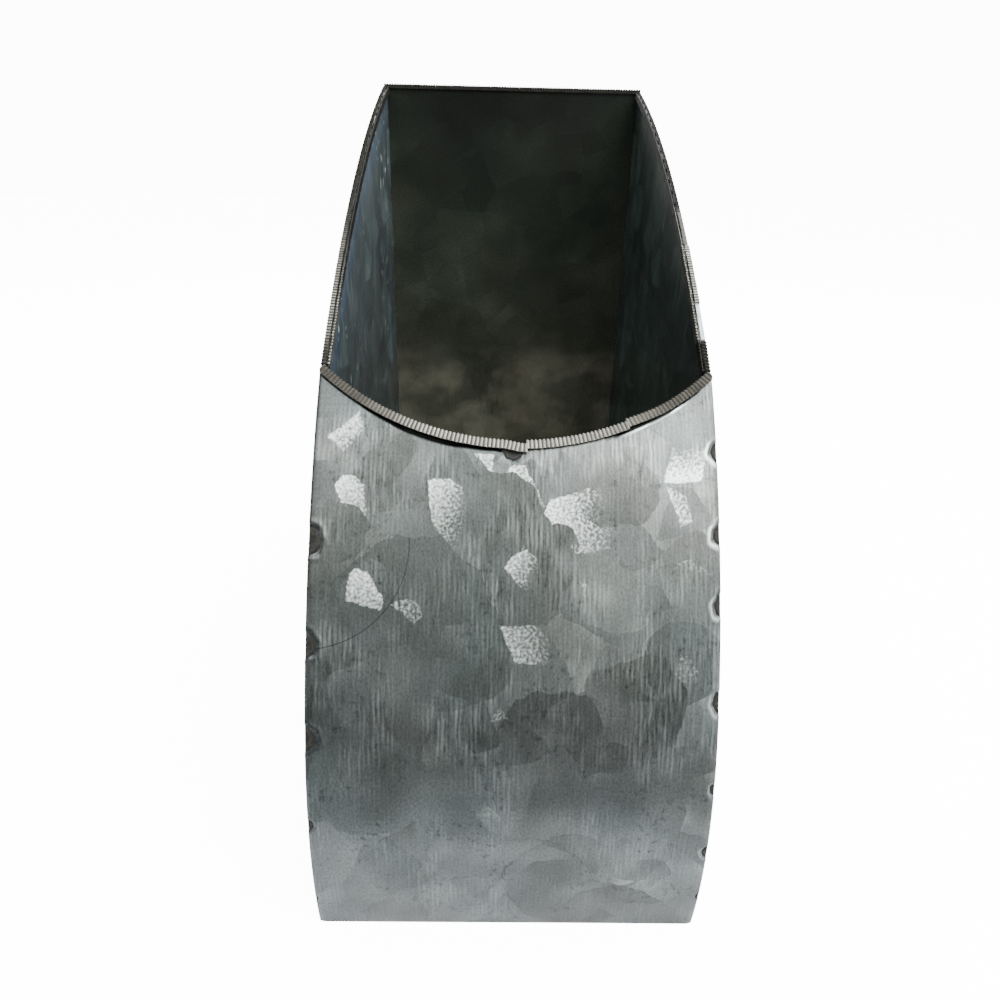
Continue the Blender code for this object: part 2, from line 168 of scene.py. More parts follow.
def new_geometry_tree(name, sizes):
    """A Geometry Nodes tree with named inputs, given as pairs of a name and a socket type."""
    tree = bpy.data.node_groups.new(name, "GeometryNodeTree")
    tree.interface.new_socket("Geometry", in_out="INPUT", socket_type="NodeSocketGeometry")
    for label, kind in sizes:
        tree.interface.new_socket(label, in_out="INPUT", socket_type="NodeSocket" + kind)
    tree.interface.new_socket("Geometry", in_out="OUTPUT", socket_type="NodeSocketGeometry")
    return tree, add(tree, "NodeGroupInput").outputs


def plain_mesh(item):
    """Applies every modifier of an object, and takes them off."""
    bpy.context.view_layer.update()
    depsgraph = bpy.context.evaluated_depsgraph_get()
    evaluated = item.evaluated_get(depsgraph)
    mesh = bpy.data.meshes.new_from_object(evaluated, preserve_all_data_layers=True, depsgraph=depsgraph)
    item.modifiers.clear()
    old = item.data
    item.data = mesh
    bpy.data.meshes.remove(old)
    return item


def run_tree(item, tree, **values):
    """Runs a tree on an object with these inputs, named with underscores, and applies it."""
    modifier = item.modifiers.new(tree.name, "NODES")
    modifier.node_group = tree
    for socket in tree.interface.items_tree:
        key = socket.name.lower().replace(" ", "_")
        if socket.in_out == "INPUT" and key in values:
            modifier[socket.identifier] = values[key]
    return plain_mesh(item)


def new_object(name, mesh):
    """Adds an object to the scene."""
    item = bpy.data.objects.new(name, mesh)
    bpy.context.scene.collection.objects.link(item)
    return item


def smooth(item, degrees=35.0):
    """Shades an object smooth, apart from edges sharper than an angle."""
    item.data.shade_smooth()
    item.data.set_sharp_from_angle(angle=math.radians(degrees))
    return item


def finished(item, slot, *nodes):
    """Puts a finished piece on the body's empty and hides these imported nodes, whose place it takes."""
    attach(item, "root")
    if nodes:
        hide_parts(*nodes)
    print(item.name, len(item.data.polygons), "faces")
    return item


# %% [markdown]
# ## Colours
#
# Colours are written as sRGB hex values, as a paint program shows them. Blender's sockets want
# linear light, so one function converts them.

# %% Colours


def colour(hex_value):
    """An sRGB hex value as linear red, green, blue and alpha."""
    channels = [int(hex_value[place:place + 2], 16) / 255 for place in (0, 2, 4)]
    linear = [c / 12.92 if c <= 0.04045 else ((c + 0.055) / 1.055) ** 2.4 for c in channels]
    return (*linear, 1.0)


def set_stops(ramp, *stops):
    """Gives a colour ramp its stops, each a position and a hex colour, from its first to its last."""
    elements = ramp.color_ramp.elements
    for place, (position, tone) in ((0, stops[0]), (1, stops[-1])):
        elements[place].position = position
        elements[place].color = colour(tone)
    for position, tone in stops[1:-1]:
        elements.new(position).color = colour(tone)
    return ramp


def new_material(name, metallic, roughness):
    """A material with a Principled shader, and its tree and shader."""
    material = bpy.data.materials.new(name)
    material.use_nodes = True
    shader = material.node_tree.nodes["Principled BSDF"]
    shader.inputs["Metallic"].default_value = metallic
    shader.inputs["Roughness"].default_value = roughness
    return material, material.node_tree, shader


# %% [markdown]
# ## Spangled zinc
#
# Hot-dip galvanising leaves the sheet in a bath of molten zinc. As the coat cools, crystals grow
# from scattered seeds until they meet, and each one tilts its facets its own way. So each spangle
# shows its own grey, its own sheen and a slightly different reflection. A Voronoi texture grows in
# the same way from scattered seeds, which makes it the natural start. Where two seeds start
# together their border is straight, but a late one meets a front that is already round. So round
# lobes are laid over the straight-sided cells, and all of the borders are bent a little by a noise.
#
# Four smaller things make the sheet believable: fine streaks along the direction in which it was
# rolled, dark pits, a frosty grain on a few fan-shaped crystals, and slow drifts between a
# brownish and a greenish grey.

# %% Noises that bend and mottle a pattern


def bent_space(tree, space, size, reach):
    """The pattern space pushed about by a noise of a size, as far as reach, in millimetres."""
    noise = add(tree, "TexNoise", (space, 1.0 / size, 2.0), noise_dimensions="2D").outputs
    centred = add(tree, "VectorMath", (noise["Color"], (0.5, 0.5, 0.5)), operation="SUBTRACT")
    push = add(tree, "VectorMath", (centred, 2.0 * reach), operation="SCALE")
    return add(tree, "VectorMath", (space, push), operation="ADD")


def mottle(tree, space, width, length, detail, low, high, new_low, new_high):
    """A noise with blotches this wide and long, in millimetres, with its range mapped to a new one."""
    drawn = add(tree, "Mapping", {"Vector": space, "Scale": (1.0 / width, 1.0 / length, 1.0)})
    noise = add(tree, "TexNoise", (drawn, 1.0, detail), noise_dimensions="2D")
    return add(tree, "MapRange", (noise, low, high, new_low, new_high))


# %% Scattered round lobes
LOBE = 26.0   # between the middles of round lobes, in millimetres


def lobes_over(tree, dice, bent, offset, chosen):
    """Round lobes over the spangles so far. Each takes its own dice, size and whether it is there."""
    moved = add(tree, "VectorMath", (bent, offset), operation="ADD")
    lobe = add(tree, "TexVoronoi", (moved, 1.0 / LOBE), voronoi_dimensions="2D")
    own = add(tree, "SeparateColor", (lobe.outputs["Color"],)).outputs
    size = add(tree, "MapRange", (own["Blue"], 1.0 - chosen, 1.0, 0.24, 0.52))
    there = add(tree, "Math", (own["Blue"], 1.0 - chosen), operation="GREATER_THAN")
    within = add(tree, "Math", (lobe.outputs["Distance"], size), operation="LESS_THAN")
    shown = add(tree, "Math", (there, within), operation="MULTIPLY")
    return add(tree, "Mix", (shown, dice, lobe.outputs["Color"]), data_type="RGBA")


# %% [markdown]
# The front has a few spangles that anyone would know it by, so those are listed one by one. Each is one
# of two shapes. A lobe grew round from its seed until an older crystal stopped it. A fan froze last,
# in the corner that its neighbours left, and came out frosty with straight sides.

# %% Spangles at chosen places
RIM_WIDTH = 0.2   # half the width of a chosen lobe's outline, in millimetres

# A round lobe at a chosen place. Tone runs from dark to light, tint from warm to cool, rim is how
# bright its outline is, and towards is where its edge is plain, in degrees anticlockwise from the
# right. On its other side it fades into the spangle beneath.
Lobe = namedtuple("Lobe", "across station radius tone tint rim towards")

# A frosty fan with straight sides: how bright it is at its first corner, how much that grows with
# each millimetre across and up the sheet, and its corners, clockwise.
Fan = namedtuple("Fan", "bright slope corners")


def fan_mask(tree, space, corners):
    """1 inside a shape with straight sides and 0 outside. Its corners run clockwise."""
    outside = -1000.0
    for (x0, y0), (x1, y1) in zip(corners, corners[1:] + corners[:1]):
        length = math.hypot(x1 - x0, y1 - y0)
        outward = ((y0 - y1) / length, (x1 - x0) / length, 0.0)
        reach = add(tree, "VectorMath", (space, outward), operation="DOT_PRODUCT").outputs
        edge = outward[0] * x0 + outward[1] * y0
        beyond = add(tree, "Math", (reach["Value"], edge), operation="SUBTRACT")
        outside = add(tree, "Math", (beyond, outside), operation="MAXIMUM")
    return add(tree, "MapRange", (outside, -0.25, 0.15, 1.0, 0.0))


def chosen_spangles(tree, bent, chosen, dice, frosted):
    """Spangles at chosen places, over the scattered ones: the new dice and frost, and the rims.

    A lobe has one plain side and covers the fans that came first.
    """
    rounded_space = bent_space(tree, bent, 9.0, 2.2)
    rim = 0.0
    for spangle in chosen:
        if isinstance(spangle, Fan):
            slope = (*spangle.slope, 0.0)
            start = spangle.bright - Vector(slope).dot((*spangle.corners[0], 0.0))
            rise = add(tree, "VectorMath", (bent, slope), operation="DOT_PRODUCT").outputs
            strength = add(tree, "Math", (rise["Value"], start), operation="ADD", use_clamp=True)
            inside = fan_mask(tree, bent, spangle.corners)
            strength = add(tree, "Math", (inside, strength), operation="MULTIPLY")
            frosted = add(tree, "Math", (strength, frosted), operation="MAXIMUM")
            continue
        middle = Vector((spangle.across, spangle.station, 0.0))
        heading = math.radians(spangle.towards)
        towards = Vector((math.cos(heading), math.sin(heading), 0.0))
        apart = add(tree, "VectorMath", (rounded_space, middle), operation="DISTANCE").outputs
        inside = add(tree, "Math", (apart["Value"], spangle.radius), operation="LESS_THAN")
        onward = add(tree, "VectorMath", (rounded_space, towards), operation="DOT_PRODUCT").outputs
        start = middle.dot(towards) - 0.75 * spangle.radius
        end = start + 1.3 * spangle.radius
        depth = add(tree, "MapRange", (onward["Value"], start, end, 0.0, 1.0))
        share = add(tree, "Math", (inside, depth), operation="MULTIPLY")
        own = (spangle.tone, spangle.tint, 0.5, 1.0)
        dice = add(tree, "Mix", (share, dice, own), data_type="RGBA")
        left_over = add(tree, "Math", (1.0, share), operation="SUBTRACT")
        frosted = add(tree, "Math", (frosted, left_over), operation="MULTIPLY")
        edge = add(tree, "Math", (apart["Value"], spangle.radius, RIM_WIDTH), operation="COMPARE")
        edge = add(tree, "Math", (edge, depth), operation="MULTIPLY")
        rim = add(tree, "Math", (edge, spangle.rim, rim), operation="MULTIPLY_ADD")
    return dice, frosted, rim


# %% Streaks and frost
STREAK = 1.05         # between rolling streaks, in millimetres
WAVE_PERIOD = 0.314   # a Wave texture repeats after this much of its own space
CRUMB = 0.68          # between the crumbs of a frosty spangle, in millimetres


def rolling_streaks(tree, space, pitch, length):
    """Even lines up the sheet, each strong for a part of its length, in clusters."""
    sideways = bent_space(tree, space, 5.0, 0.35)
    drawn = add(tree, "Mapping", {"Vector": sideways, "Scale": (1.0, 0.09, 1.0)})
    lines = add(tree, "TexWave", {
        "Vector": drawn, "Scale": WAVE_PERIOD / pitch, "Distortion": 2.4, "Detail": 2.0,
        "Detail Scale": 0.9})
    patchy = mottle(tree, space, 1.7 * pitch, length, 2.0, 0.40, 0.62, 0.0, 1.0)
    lines = add(tree, "Math", (lines, patchy), operation="MULTIPLY")
    fine = mottle(tree, space, 0.5 * pitch, 0.6 * length, 3.0, 0.30, 0.70, -0.35, 0.35)
    return add(tree, "Math", (lines, fine), operation="ADD")


def frost_crumbs(tree, space, frosted):
    """The separate crumbs in which frost grows. They lie closer where it is stronger."""
    grains = mottle(tree, space, CRUMB, CRUMB, 4.0, 0.30, 0.70, 0.0, 1.0)
    crumb = add(tree, "Math", (frosted, 1.20, grains), operation="MULTIPLY_ADD")
    crumb = add(tree, "MapRange", (crumb, 0.58, 2.00, 0.0, 1.0))
    crumb = add(tree, "Math", (crumb, 1.5), operation="POWER")
    begun = add(tree, "MapRange", (frosted, 0.0, 0.30, 0.0, 1.0))
    return add(tree, "Math", (crumb, begun), operation="MULTIPLY")


# %% [markdown]
# The finish puts these together. A Voronoi texture gives each cell one random colour, and its three
# channels serve as the dice of a spangle: red rolls its tone, green its tint and its roughness, and
# all three the way in which its facets lean.

# %% The whole finish
SPANGLE = 17.0        # across a large spangle, in millimetres
SMALL_SPANGLE = 9.0   # across a small one, in millimetres
PIT = 1.5             # across a dark pit, in millimetres
FAR = 700.0           # dice times this, in millimetres, lands in another part of a noise
SHADING = 0.32        # how far a spangle shades from side to side, as a share of the tones
DRIFT = 0.35          # how far the tint drifts from place to place
TINTED = 0.36         # how strongly the warm and cool tints show
QUIETER = 0.55        # how much scattered spangles show among chosen ones
LEAN = 0.06           # how far a spangle's facets lean
RELIEF = 0.04 * MM    # how high streaks and frost stand
WARM, COOL, FROST = "857d78", "778a8c", "dae3df"
PLAIN = (0.5, 0.5, 0.5, 1.0)    # the dice of a spangle that doesn't stand out


def spangled_zinc(name, place, tones, metallic, roughness, streaks, rounds, frosty,
                  chosen=(), marks=None, pits=0.45, faint=(-1000.0, -999.0, 1.0)):
    """The zinc sheet's finish.

    place gives the pattern space in a tree. tones are four hex colours, dark to light. streaks
    gives the rolling streaks' pitch and length in millimetres and their strength. rounds gives the
    share of lobes in each layer of them, and frosty the share of small spangles with a bright
    grain. chosen lists lobes and fans at chosen places, and marks may add an object's own marks.
    pits is how dark the pits are. faint gives two heights between which spangles and streaks grow
    clear, and how clear they are at the first.
    """
    material, tree, shader = new_material(name, metallic, roughness)
    space = place(tree)
    bent = bent_space(tree, bent_space(tree, space, 9.0, 0.8), 1.8, 0.22)
    swayed = bent_space(tree, bent, 15.0, 3.4)
    large = add(tree, "TexVoronoi", (swayed, 1.0 / SPANGLE), voronoi_dimensions="2D")
    small = add(tree, "TexVoronoi", (bent, 1.0 / SMALL_SPANGLE), voronoi_dimensions="2D")

    # A fifth of the small spangles lie over the large ones, and round lobes over both
    small_dice = add(tree, "SeparateColor", (small.outputs["Color"],)).outputs
    over = add(tree, "Math", (small_dice["Blue"], 0.80), operation="GREATER_THAN")
    dice = add(tree, "Mix", (over, large.outputs["Color"], small.outputs["Color"]), data_type="RGBA")
    for offset, share in zip(((13.0, 5.0, 0.0), (-6.0, 17.0, 0.0)), rounds):
        dice = lobes_over(tree, dice, swayed, offset, share)

    # Each spangle reads another part of one slow noise, so it shades from side to side its own way
    elsewhere = add(tree, "VectorMath", (dice, (FAR, FAR, 0.0), space), operation="MULTIPLY_ADD")
    shading = mottle(tree, elsewhere, 14.0, 14.0, 1.0, 0.25, 0.75, -SHADING, SHADING)
    chilled = add(tree, "Math", (small_dice["Red"], 1.0 - frosty), operation="GREATER_THAN")
    fading = mottle(tree, elsewhere, 8.0, 8.0, 1.0, 0.40, 0.58, 0.05, 0.9)
    frosted = add(tree, "Math", (chilled, fading), operation="MULTIPLY")

    # Chosen spangles stand out from the scattered ones, which are quieter beside them
    rim = 0.0
    if chosen:
        dice = add(tree, "Mix", (QUIETER, PLAIN, dice), data_type="RGBA")
        dice, frosted, rim = chosen_spangles(tree, bent, chosen, dice, frosted)
    up = add(tree, "SeparateXYZ", (space,)).outputs["Y"]
    clearness = add(tree, "MapRange", (up, *faint, 1.0))
    dice = add(tree, "Mix", (clearness, PLAIN, dice), data_type="RGBA")
    rolled = add(tree, "SeparateColor", (dice,)).outputs

    tone = add(tree, "Math", (rolled["Red"], shading), operation="ADD")
    ramp = set_stops(add(tree, "ValToRGB", (tone,)), *zip((0.0, 0.45, 0.85, 1.0), tones))
    drift = mottle(tree, space, 30.0, 38.0, 1.0, 0.35, 0.65, -DRIFT, DRIFT)
    cool = add(tree, "Math", (rolled["Green"], drift), operation="ADD", use_clamp=True)
    tint = add(tree, "Mix", (cool, colour(WARM), colour(COOL)), data_type="RGBA")
    base = add(tree, "Mix", (TINTED, ramp, tint), data_type="RGBA", blend_type="OVERLAY")

    # Rolling streaks, which show less on the spangles of a cool tint
    pitch, length, strength = streaks
    lines = rolling_streaks(tree, space, pitch, length)
    here = mottle(tree, space, 13.0, 16.0, 1.0, 0.44, 0.62, 0.22 * strength, strength)
    shown = add(tree, "Math", (clearness, 4.0), operation="POWER")
    here = add(tree, "Math", (here, shown), operation="MULTIPLY")
    taken = add(tree, "MapRange", (rolled["Green"], 0.1, 0.9, 1.0, 0.45))
    streak = add(tree, "Math", (lines, here), operation="MULTIPLY")
    grain = mottle(tree, space, 0.45, 0.7, 4.0, 0.25, 0.75, 0.70, 1.14)
    lighter = add(tree, "Math", (streak, taken, grain), operation="MULTIPLY_ADD")
    lighter = add(tree, "Math", (rim, lighter), operation="ADD")

    # Dark pits, in a few places
    pit = mottle(tree, space, PIT, PIT, 2.0, 0.56, 0.70, 0.0, 1.0)
    pitted = mottle(tree, space, 13.0, 9.0, 1.0, 0.50, 0.64, 0.0, pits)
    pit = add(tree, "Math", (pit, pitted), operation="MULTIPLY")
    lighter = add(tree, "Math", (lighter, pit), operation="SUBTRACT")
    base = add(tree, "VectorMath", (base, lighter), operation="SCALE")
    rough = add(tree, "MapRange", (rolled["Green"], 0.0, 1.0, roughness - 0.07, roughness + 0.10))

    # Frost is pale and rough
    crumb = frost_crumbs(tree, space, frosted)
    base = add(tree, "Mix", (crumb, base, colour(FROST)), data_type="RGBA")
    rougher = add(tree, "Math", (crumb, 0.55), operation="MULTIPLY")
    rough = add(tree, "Math", (rough, rougher), operation="MAXIMUM")

    # Each spangle leans its own way
    lean = add(tree, "VectorMath", (dice, (0.5, 0.5, 0.5)), operation="SUBTRACT")
    lean = add(tree, "VectorMath", (lean, LEAN), operation="SCALE")
    face = add(tree, "NewGeometry").outputs["Normal"]
    leaning = add(tree, "VectorMath", (face, lean), operation="ADD")
    leaning = add(tree, "VectorMath", (leaning,), operation="NORMALIZE")
    height = add(tree, "Math", (lines, 0.5, crumb), operation="MULTIPLY_ADD")
    bump = add(tree, "Bump", {
        "Height": height, "Strength": 0.35, "Distance": RELIEF, "Normal": leaning})
    if marks:
        base, rough = marks(tree, space, base, rough)
    tree.links.new(first_output(base), shader.inputs["Base Color"])
    tree.links.new(first_output(rough), shader.inputs["Roughness"])
    tree.links.new(bump.outputs[0], shader.inputs["Normal"])
    return material


# %% Large spangles that the eye picks out on the front
# They cover each other in this order
FRONT_SPANGLES = (
    Fan(0.95, (-0.04, 0.035), ((-39.8, 108.8), (-38.2, 111.5), (-35.1, 111.4), (-33.5, 109.6),
                             (-32.5, 101.0), (-34.5, 98.0))),
    Fan(1.00, (-0.07, 0.03), ((-19.7, 110.5), (-14.3, 111.0), (-11.3, 109.3), (-10.4, 103.0),
                              (-12.3, 93.3), (-17.9, 99.9))),
    Fan(0.60, (0.03, 0.00), ((-9.6, 116.6), (-4.5, 116.4), (-4.8, 112.3))),
    Fan(0.90, (-0.06, 0.00), ((-2.9, 111.7), (-1.0, 114.2), (2.4, 114.3), (6.8, 104.1))),
    Fan(1.00, (-0.06, 0.00), ((6.4, 103.4), (7.7, 106.3), (15.9, 109.6), (21.0, 109.0),
                              (21.0, 96.0), (13.2, 94.8))),
    Fan(0.10, (0.00, -0.11), ((34.6, 119.5), (42.5, 118.5), (41.4, 111.0), (32.7, 110.6))),
    Fan(0.60, (-0.06, -0.02), ((33.0, 110.0), (37.5, 108.5), (39.0, 102.0), (36.0, 101.0))),
    Fan(0.95, (-0.12, 0.06), ((-2.2, 91.3), (1.7, 96.2), (5.6, 93.2), (6.0, 87.7), (1.8, 86.8))),
    Fan(0.75, (-0.06, 0.06), ((-42.0, 119.9), (-35.3, 126.4), (-34.0, 122.0), (-38.0, 116.6))),
    Fan(0.18, (0.00, 0.02), ((35.0, 92.7), (38.1, 94.4), (46.0, 89.4))),
    Lobe(-22.5, 80.5, 17.5, -0.15, 0.90, 0.00, 85), Lobe(-14.0, 74.0, 13.6, -0.05, 0.80, 0.00, -5),
    Lobe(-4.5, 103.0, 10.3, 0.12, 0.10, 0.00, 25), Lobe(-30.0, 117.5, 8.4, -0.10, 0.05, 0.00, -10),
    Lobe(9.9, 96.6, 4.6, 0.05, 0.40, 0.00, 90), Lobe(21.5, 87.5, 9.6, 0.68, 0.65, 0.06, -90),
    Lobe(22.0, 110.0, 9.5, 0.00, 0.10, 0.00, -35), Lobe(37.0, 73.8, 7.4, 0.15, 0.70, 0.20, 90),
    Lobe(27.0, 61.0, 11.3, -0.05, 0.20, 0.00, 35), Lobe(-39.0, 99.0, 6.5, 0.05, 0.80, 0.00, 5),
    Lobe(8.5, 54.3, 11.6, -0.05, 0.15, 0.00, 85), Lobe(23.2, 51.5, 2.7, -0.10, 0.40, 0.00, 60),
    Lobe(-29.5, 20.5, 9.2, 0.15, 0.55, -0.10, 10), Lobe(-9.0, -9.0, 27.5, 0.45, 0.30, -0.12, 98),
    Lobe(3.0, 16.5, 14.0, 0.40, 0.50, -0.12, 35), Lobe(14.0, 16.0, 15.0, 0.15, 0.35, -0.18, 165),
    Lobe(26.0, 0.0, 15.0, 0.00, 0.30, -0.12, 85), Lobe(31.8, 20.2, 4.6, -0.20, 0.40, 0.00, 60),
    Lobe(-4.6, 35.8, 2.9, 0.90, 0.70, 0.08, 80),
    Fan(0.95, (0.00, 0.04), ((-35.8, 89.7), (-34.5, 91.3), (-31.9, 90.4), (-27.9, 84.5),
                             (-28.7, 81.7), (-36.2, 83.7))),
    Fan(0.50, (-0.04, 0.00), ((-26.8, 83.0), (-24.2, 84.3), (-20.6, 84.6), (-19.6, 80.3), (-21.5, 78.8))),
    Fan(0.70, (-0.055, -0.01), ((-3.0, 79.1), (4.5, 79.4), (8.0, 75.6), (7.9, 70.6), (0.3, 70.7))),
    Fan(0.30, (0.00, 0.00), ((14.3, 88.8), (15.6, 88.6), (15.0, 84.2))),
    Fan(0.26, (0.00, 0.02), ((36.4, 73.8), (41.2, 69.1), (38.1, 64.9), (35.0, 68.8))),
    Fan(0.28, (0.00, 0.02), ((-5.3, 58.2), (-2.7, 61.4), (-0.8, 58.7))),
)
print("chosen spangles on the front:", len(FRONT_SPANGLES))

# %% The front's pattern space and its marks
SHEET_TILE = 200.0 * MM   # one unit of the front's UV map
SCRATCH_CENTRE = (-45.6, 96.0, 0.0)
SCRATCH_RADIUS = 22.6
SCRATCH_TOP = 97.5     # the scratch runs below this station
SCRATCH_LEFT = -42.5   # and right of this place


def front_space(tree):
    """Pattern space on the front, laid out on the flat sheet by its UV map."""
    flat = add(tree, "UVMap", uv_map="flat_sheet")
    return add(tree, "VectorMath", (flat, SHEET_TILE / MM), operation="SCALE")


def front_marks(tree, space, base, rough):
    """Burnt halos, grime with a painted shadow in the gap under the edging, and painted highlights on the
    dishes' lips and the hem, kept as attributes, and a curved scratch.
    """
    halo = add(tree, "Attribute", attribute_name="halo").outputs["Fac"]
    patchy = mottle(tree, space, 1.2, 1.2, 3.0, 0.35, 0.60, 0.45, 1.0)
    burnt = add(tree, "Math", (halo, patchy), operation="MULTIPLY")
    base = add(tree, "Mix", (burnt, base, colour("23282a")), data_type="RGBA")
    scaled = add(tree, "Math", (burnt, 0.7), operation="MULTIPLY")
    rough = add(tree, "Math", (rough, scaled), operation="MAXIMUM")
    # The first mask also holds a painted shadow in the gap under the edging; the second holds painted
    # highlights on the weld dishes' lips and the hem's bead
    for attribute, tone in (("grime", "0b0c0a"), ("bright", "dfeae8")):
        amount = add(tree, "Attribute", attribute_name=attribute).outputs["Fac"]
        base = add(tree, "Mix", (amount, base, colour(tone)), data_type="RGBA")

    # A scratch that runs round an arc, as if struck by a compass
    from_centre = add(tree, "VectorMath", (space, SCRATCH_CENTRE), operation="DISTANCE")
    off_line = add(tree, "Math", (from_centre, SCRATCH_RADIUS), operation="SUBTRACT")
    off_line = add(tree, "Math", (off_line,), operation="ABSOLUTE")
    line = add(tree, "MapRange", (off_line, 0.05, 0.17, 0.75, 0.0))
    parts = add(tree, "SeparateXYZ", (space,)).outputs
    below = add(tree, "Math", (parts["Y"], SCRATCH_TOP), operation="LESS_THAN")
    line = add(tree, "Math", (line, below), operation="MULTIPLY")
    beside = add(tree, "Math", (parts["X"], SCRATCH_LEFT), operation="GREATER_THAN")
    line = add(tree, "Math", (line, beside), operation="MULTIPLY")
    base = add(tree, "Mix", (line, base, colour("20262a")), data_type="RGBA")
    return base, rough


# %% Finish of the front
# The front's zinc is rubbed to a satin metal: the eye reads its bent mirror of the room, its large
# spangles and its rolling streaks, which are faint at the belly where hands and cloths pass
ZINC_TONES = ("4d514f", "5c605f", "6a6f6d", "818784")
front_zinc = spangled_zinc("hot_dip_zinc_spangled", front_space, ZINC_TONES, 0.9, 0.38,
                           (STREAK, 8.0, 1.20), (0.25,), 0.0, FRONT_SPANGLES, front_marks,
                           pits=0.32, faint=(30.0, 58.0, 0.75))
print("front zinc:", len(front_zinc.node_tree.nodes), "nodes")

# %% [markdown]
# The walls are the same zinc, but nobody wipes the inside. There it has dulled, and painted shade,
# painted light and painted reflections are laid on its colour. These finishes read a place on the
# flat wall, so they need no UV map. There it has dulled, and soot and oil
# have settled on it. These finishes read a place on the flat wall, so they need no UV map.

# %% Pattern space on a flat wall


def boxed_space(tree):
    """Pattern space on a flat wall: the two directions that lie in it, in millimetres."""
    place = add(tree, "TexCoord").outputs["Object"]
    parts = add(tree, "SeparateXYZ", (place,)).outputs
    facing = add(tree, "NewGeometry").outputs["True Normal"]
    facing = add(tree, "VectorMath", (facing,), operation="ABSOLUTE")
    facing = add(tree, "SeparateXYZ", (facing,)).outputs
    on_side = add(tree, "Math", (facing["X"], 0.7), operation="GREATER_THAN")
    on_floor = add(tree, "Math", (facing["Z"], 0.7), operation="GREATER_THAN")
    across = add(tree, "Mix", (on_side, parts["X"], parts["Y"]), data_type="FLOAT")
    along = add(tree, "Mix", (on_floor, parts["Z"], parts["Y"]), data_type="FLOAT")
    flat = add(tree, "CombineXYZ", (across, along))
    return add(tree, "VectorMath", (flat, 1.0 / MM), operation="SCALE")


# %% Marks on the side walls, with painted shade, a painted reflection and painted glints
WALL_SHADE_DEPTH = 48.0 * MM     # how far below its rim the darkening of a side wall reaches; on the right wall it is painted shade
REFLECTION_DEPTH = 13.0 * MM      # how far below the left rim a painted blue reflection reaches


def wall_marks(tree, space, base, rough):
    """Both walls are darker towards their rims, and painted shade makes the right one far darker than the
    left; the right one is also tinted green. The left one has a painted blue reflection near its rim and
    pale painted glints.
    """
    place = add(tree, "TexCoord").outputs["Object"]
    parts = add(tree, "SeparateXYZ", (place,)).outputs
    on_plane = add(tree, "VectorMath", (place, (0.0, 1.0, 1.0)), operation="MULTIPLY")
    reach = add(tree, "VectorMath", (on_plane, RIM_CENTRE), operation="DISTANCE").outputs
    below = add(tree, "Math", (RIM_RADIUS, reach["Value"]), operation="SUBTRACT")
    on_left = add(tree, "Math", (parts["X"], 0.0), operation="LESS_THAN")
    # Painted shade: the right wall, which gets less light, is made far darker than the left; both are
    # darker towards their rims
    rim_shade = add(tree, "MapRange", (on_left, 0.0, 1.0, 0.26, 0.74))
    dull = add(tree, "MapRange", (below, 2.0 * MM, WALL_SHADE_DEPTH, rim_shade, 0.86))
    base = add(tree, "VectorMath", (base, dull), operation="SCALE")
    greened = add(tree, "Math", (1.0, on_left), operation="SUBTRACT")
    green = colour("dcecdd")
    base = add(tree, "Mix", (greened, base, green), data_type="RGBA", blend_type="MULTIPLY")

    # Painted reflection: a blue strip along the left wall below its rim
    painted_reflection = mottle(tree, space, 2.5, 26.0, 2.0, 0.35, 0.62, 0.00, 0.68)
    near = add(tree, "MapRange", (below, 0.55 * REFLECTION_DEPTH, REFLECTION_DEPTH, 1.0, 0.0))
    painted_reflection = add(tree, "Math", (painted_reflection, near), operation="MULTIPLY")
    painted_reflection = add(tree, "Math", (painted_reflection, on_left), operation="MULTIPLY")
    base = add(tree, "Mix", (painted_reflection, base, colour("38495c")), data_type="RGBA")

    # Painted glints: small pale marks on the left wall
    painted_glint = mottle(tree, space, 3.2, 4.0, 1.0, 0.70, 0.78, 0.0, 0.60)
    among = mottle(tree, space, 26.0, 40.0, 1.0, 0.48, 0.60, 0.0, 1.0)
    painted_glint = add(tree, "Math", (painted_glint, among), operation="MULTIPLY")
    painted_glint = add(tree, "Math", (painted_glint, on_left), operation="MULTIPLY")
    return add(tree, "Mix", (painted_glint, base, colour("b4bdba")), data_type="RGBA"), rough


# %% Painted shade and painted light on the back
LIT_PATCH_HEIGHT = 104.0 * MM  # painted pale patches of light on the back lie below this

# Painted shade: how much of the back's colour is left, by share of the full height, darker higher up
PAINTED_HEIGHT_SHADE = ((0.36, "b8b9b4"), (0.47, "a0a39f"), (0.55, "7a807c"), (0.64, "626965"), (0.75, "424b47"),
        (1.0, "232927"))


